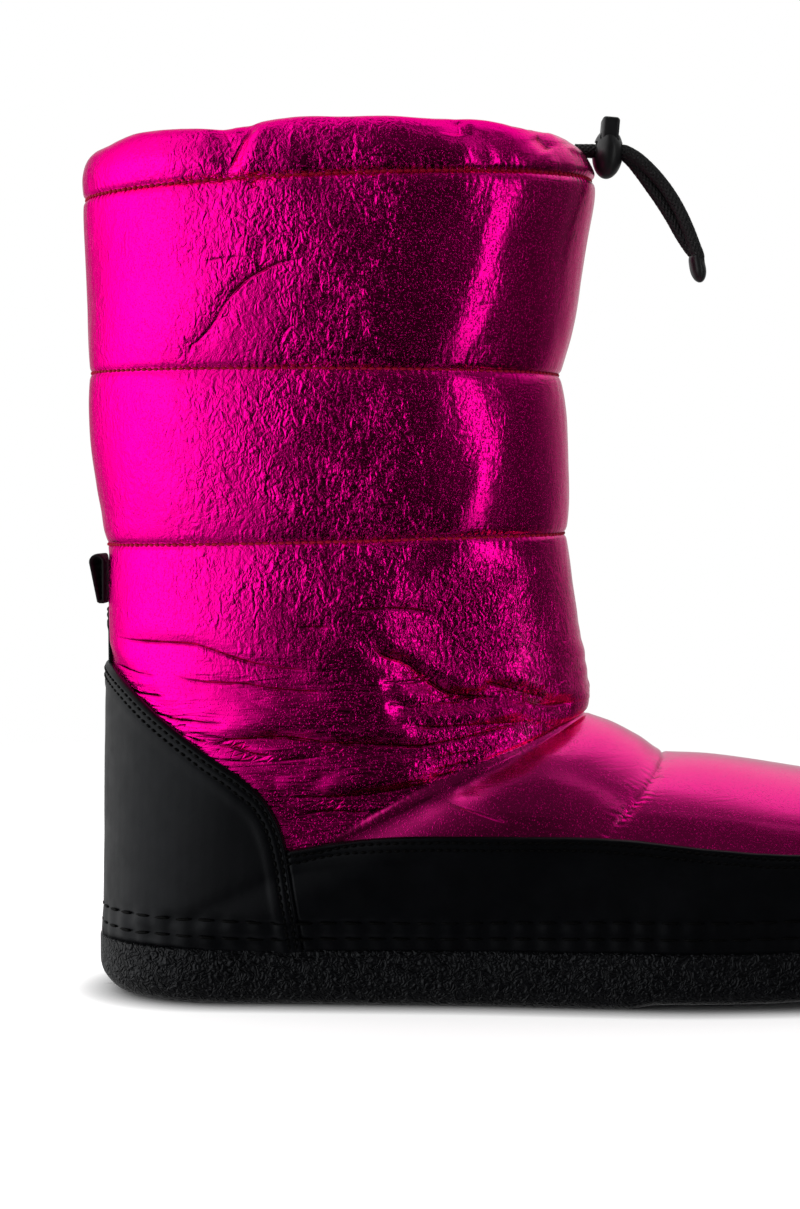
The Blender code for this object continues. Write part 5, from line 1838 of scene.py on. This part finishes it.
class BOOTIE_OT_overlays(bpy.types.Operator):
    """Adds counter, rand and backstay with their stitching"""

    bl_idname = "bootie.overlays"
    bl_label = "Overlays"

    def execute(self, context):
        sizes, colours = settings()
        material = overlay_material(colours.overlay)
        thread = thread_material("Edge thread", colours.edge_thread, gloss=0.06)
        plan = BootPlan()
        counter_top = counter_line(plan, OVERLAY_COLUMNS)
        reach = np.linspace(counter_top[0, 0], counter_top[-1, 0], OVERLAY_COLUMNS)
        counter_foot = np.stack([reach, np.full(OVERLAY_COLUMNS, RISE_LOW)], axis=-1)
        counter = overlay_piece("heel_counter", plan, counter_top, counter_foot, COUNTER_WALL, material)
        attach(counter, "black_overlay", "counter")
        rand_top, rand_bottom = (line(plan, 2 * OVERLAY_COLUMNS) for line in (rand_line, rand_foot))
        rand = overlay_piece("foot_rand", plan, rand_top, rand_bottom, RAND_WALL, material)
        attach(rand, "black_overlay", "rand")
        base = float(feather_edge(0.0))
        half = BACKSTAY_WIDTH / 2
        width = np.linspace(plan.heel - half, plan.heel + half, BACKSTAY_COLUMNS)
        top, bottom = (
            np.stack([width, np.full(BACKSTAY_COLUMNS, height - base)], axis=-1)
            for height in (BACKSTAY_TOP, BACKSTAY_FOOT)
        )
        backstay = overlay_piece("heel_backstay", plan, top, bottom, BACKSTAY_WALL, material)
        attach(backstay, "black_overlay", "backstay")
        rows = edge_rows(plan, counter_top, COUNTER_WALL) + edge_rows(plan, rand_top, RAND_WALL)
        sew("edge_stitches", rows, sizes.edge_pitch, EDGE_STITCH, thread, "black_overlay")
        rows = []
        for line, wall in ((counter_foot, COUNTER_WALL), (rand_bottom, RAND_WALL)):
            for rise in SOLE_LINES:
                points, directions = plan.at(line[:, 0], np.full(len(line), rise))
                rows.append(points + directions * (OVERLAY_GAP + wall + SOLE_STITCH[2]))
        sew("sole_stitches", rows, sizes.sole_pitch, SOLE_STITCH, thread, "black_overlay")
        return {"FINISHED"}


class BOOTIE_OT_outsole(bpy.types.Operator):
    """Adds the pebbled unit sole with its tread"""

    bl_idname = "bootie.outsole"
    bl_label = "Outsole"

    def execute(self, context):
        _, colours = settings()
        levels = sole_levels()

        def top(x, share):
            return levels[0][1](x)

        def bottom(x, share):
            return levels[-1][1](x) + groove_height(x) * smooth_step((1 - np.abs(share)) / GROOVE_ENDS)

        rubber = rubber_material(colours.rubber)
        sole = footprint_piece("unit_sole", levels, sole_shares(), top, bottom, SOLE_ACROSS, rubber)
        attach(sole, "black_rubber", "outsole")
        return {"FINISHED"}


class BOOTIE_OT_footbed(bpy.types.Operator):
    """Adds the felt footbed"""

    bl_idname = "bootie.footbed"
    bl_label = "Footbed"

    def execute(self, context):
        _, colours = settings()
        shares = (1 + np.cos(np.linspace(0.0, math.pi, FOOTBED_STATIONS))) / 2

        def top(x, share):
            return feather_edge(x) + FOOTBED_HEIGHT - FOOTBED_CUP * (1 - np.abs(share) ** CUP_POWER)

        def bottom(x, share):
            return feather_edge(x)

        levels = [
            (FOOTBED_INSET, lambda x: feather_edge(x) + FOOTBED_HEIGHT),
            (FOOTBED_INSET - FOOTBED_BULGE, lambda x: feather_edge(x) + FOOTBED_HEIGHT / 2),
            (FOOTBED_INSET, feather_edge),
        ]
        felt = felt_material(colours.felt)
        footbed = footprint_piece("felt_footbed", levels, shares, top, bottom, FOOTBED_ACROSS, felt)
        attach(footbed, "black_felt", "insole")
        return {"FINISHED"}


class BOOTIE_OT_pull_loop(bpy.types.Operator):
    """Adds the folded webbing strap behind the shaft"""

    bl_idname = "bootie.pull_loop"
    bl_label = "Pull loop"

    def execute(self, context):
        _, colours = settings()
        low, high = (np.array(corner) / MM - (HEEL_X, MIDDLE_Y, 0.0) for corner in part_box("pull_loop"))
        line = strap_outline(high[0], low[2], high[2], high[0] - low[0])
        ahead = np.roll(line, -1, axis=0) - np.roll(line, 1, axis=0)
        ahead /= np.linalg.norm(ahead, axis=1, keepdims=True)
        out = np.stack([ahead[:, 1], -ahead[:, 0]], axis=-1)
        turn = np.linspace(0.0, 2 * math.pi, LOOP_AROUND, endpoint=False)
        width = high[1] - low[1]
        across = width / 2 * np.sign(np.cos(turn)) * np.abs(np.cos(turn)) ** STRAP_POWERS[0]
        thick = LOOP_STRAP / 2 * np.sign(np.sin(turn)) * np.abs(np.sin(turn)) ** STRAP_POWERS[1]
        flat = line[:, None] + out[:, None] * thick[None, :, None]
        x, z = flat[..., 0], flat[..., 1]
        twist = (high[0] - x) * LOOP_TWIST * (across / width + 0.5)[None]
        rings = np.stack(np.broadcast_arrays(x + twist, across[None], z), axis=-1)
        index = np.arange(rings.shape[0] * rings.shape[1]).reshape(rings.shape[:2])
        index = np.concatenate([index, index[:1]])
        faces = grid_faces(np.concatenate([index, index[:, :1]], axis=1))
        loop = new_piece("webbing_loop", rings.reshape(-1, 3), faces, webbing_material(colours.webbing))
        attach(loop, "black_webbing", "pull_loop")
        return {"FINISHED"}


class BOOTIE_PT_pieces(bpy.types.Panel):
    """Lists the bootie's pieces"""

    bl_idname = "BOOTIE_PT_pieces"
    bl_label = "Bootie"
    bl_space_type = "VIEW_3D"
    bl_region_type = "UI"
    bl_category = "Bootie"

    def draw(self, context):
        for operator in OPERATORS:
            self.layout.operator(operator.bl_idname)
        for group in (context.scene.bootie_sizes, context.scene.bootie_colours):
            for name in group.__annotations__:
                self.layout.prop(group, name)


OPERATORS = (
    BOOTIE_OT_stage,
    BOOTIE_OT_drawcord,
    BOOTIE_OT_cord_lock,
    BOOTIE_OT_foil_upper,
    BOOTIE_OT_fleece_lining,
    BOOTIE_OT_overlays,
    BOOTIE_OT_outsole,
    BOOTIE_OT_footbed,
    BOOTIE_OT_pull_loop,
)
CLASSES = (BootieSizes, BootieColours, *OPERATORS, BOOTIE_PT_pieces)


def register():
    for cls in CLASSES:
        bpy.utils.register_class(cls)
    bpy.types.Scene.bootie_sizes = bpy.props.PointerProperty(type=BootieSizes)
    bpy.types.Scene.bootie_colours = bpy.props.PointerProperty(type=BootieColours)


def unregister():
    del bpy.types.Scene.bootie_colours
    del bpy.types.Scene.bootie_sizes
    for cls in reversed(CLASSES):
        bpy.utils.unregister_class(cls)


def main():
    register()
    bpy.ops.bootie.stage()
    bpy.ops.bootie.drawcord()
    bpy.ops.bootie.cord_lock()
    bpy.ops.bootie.foil_upper()
    bpy.ops.bootie.fleece_lining()
    bpy.ops.bootie.overlays()
    bpy.ops.bootie.outsole()
    bpy.ops.bootie.footbed()
    bpy.ops.bootie.pull_loop()


if __name__ == "__main__":
    main()
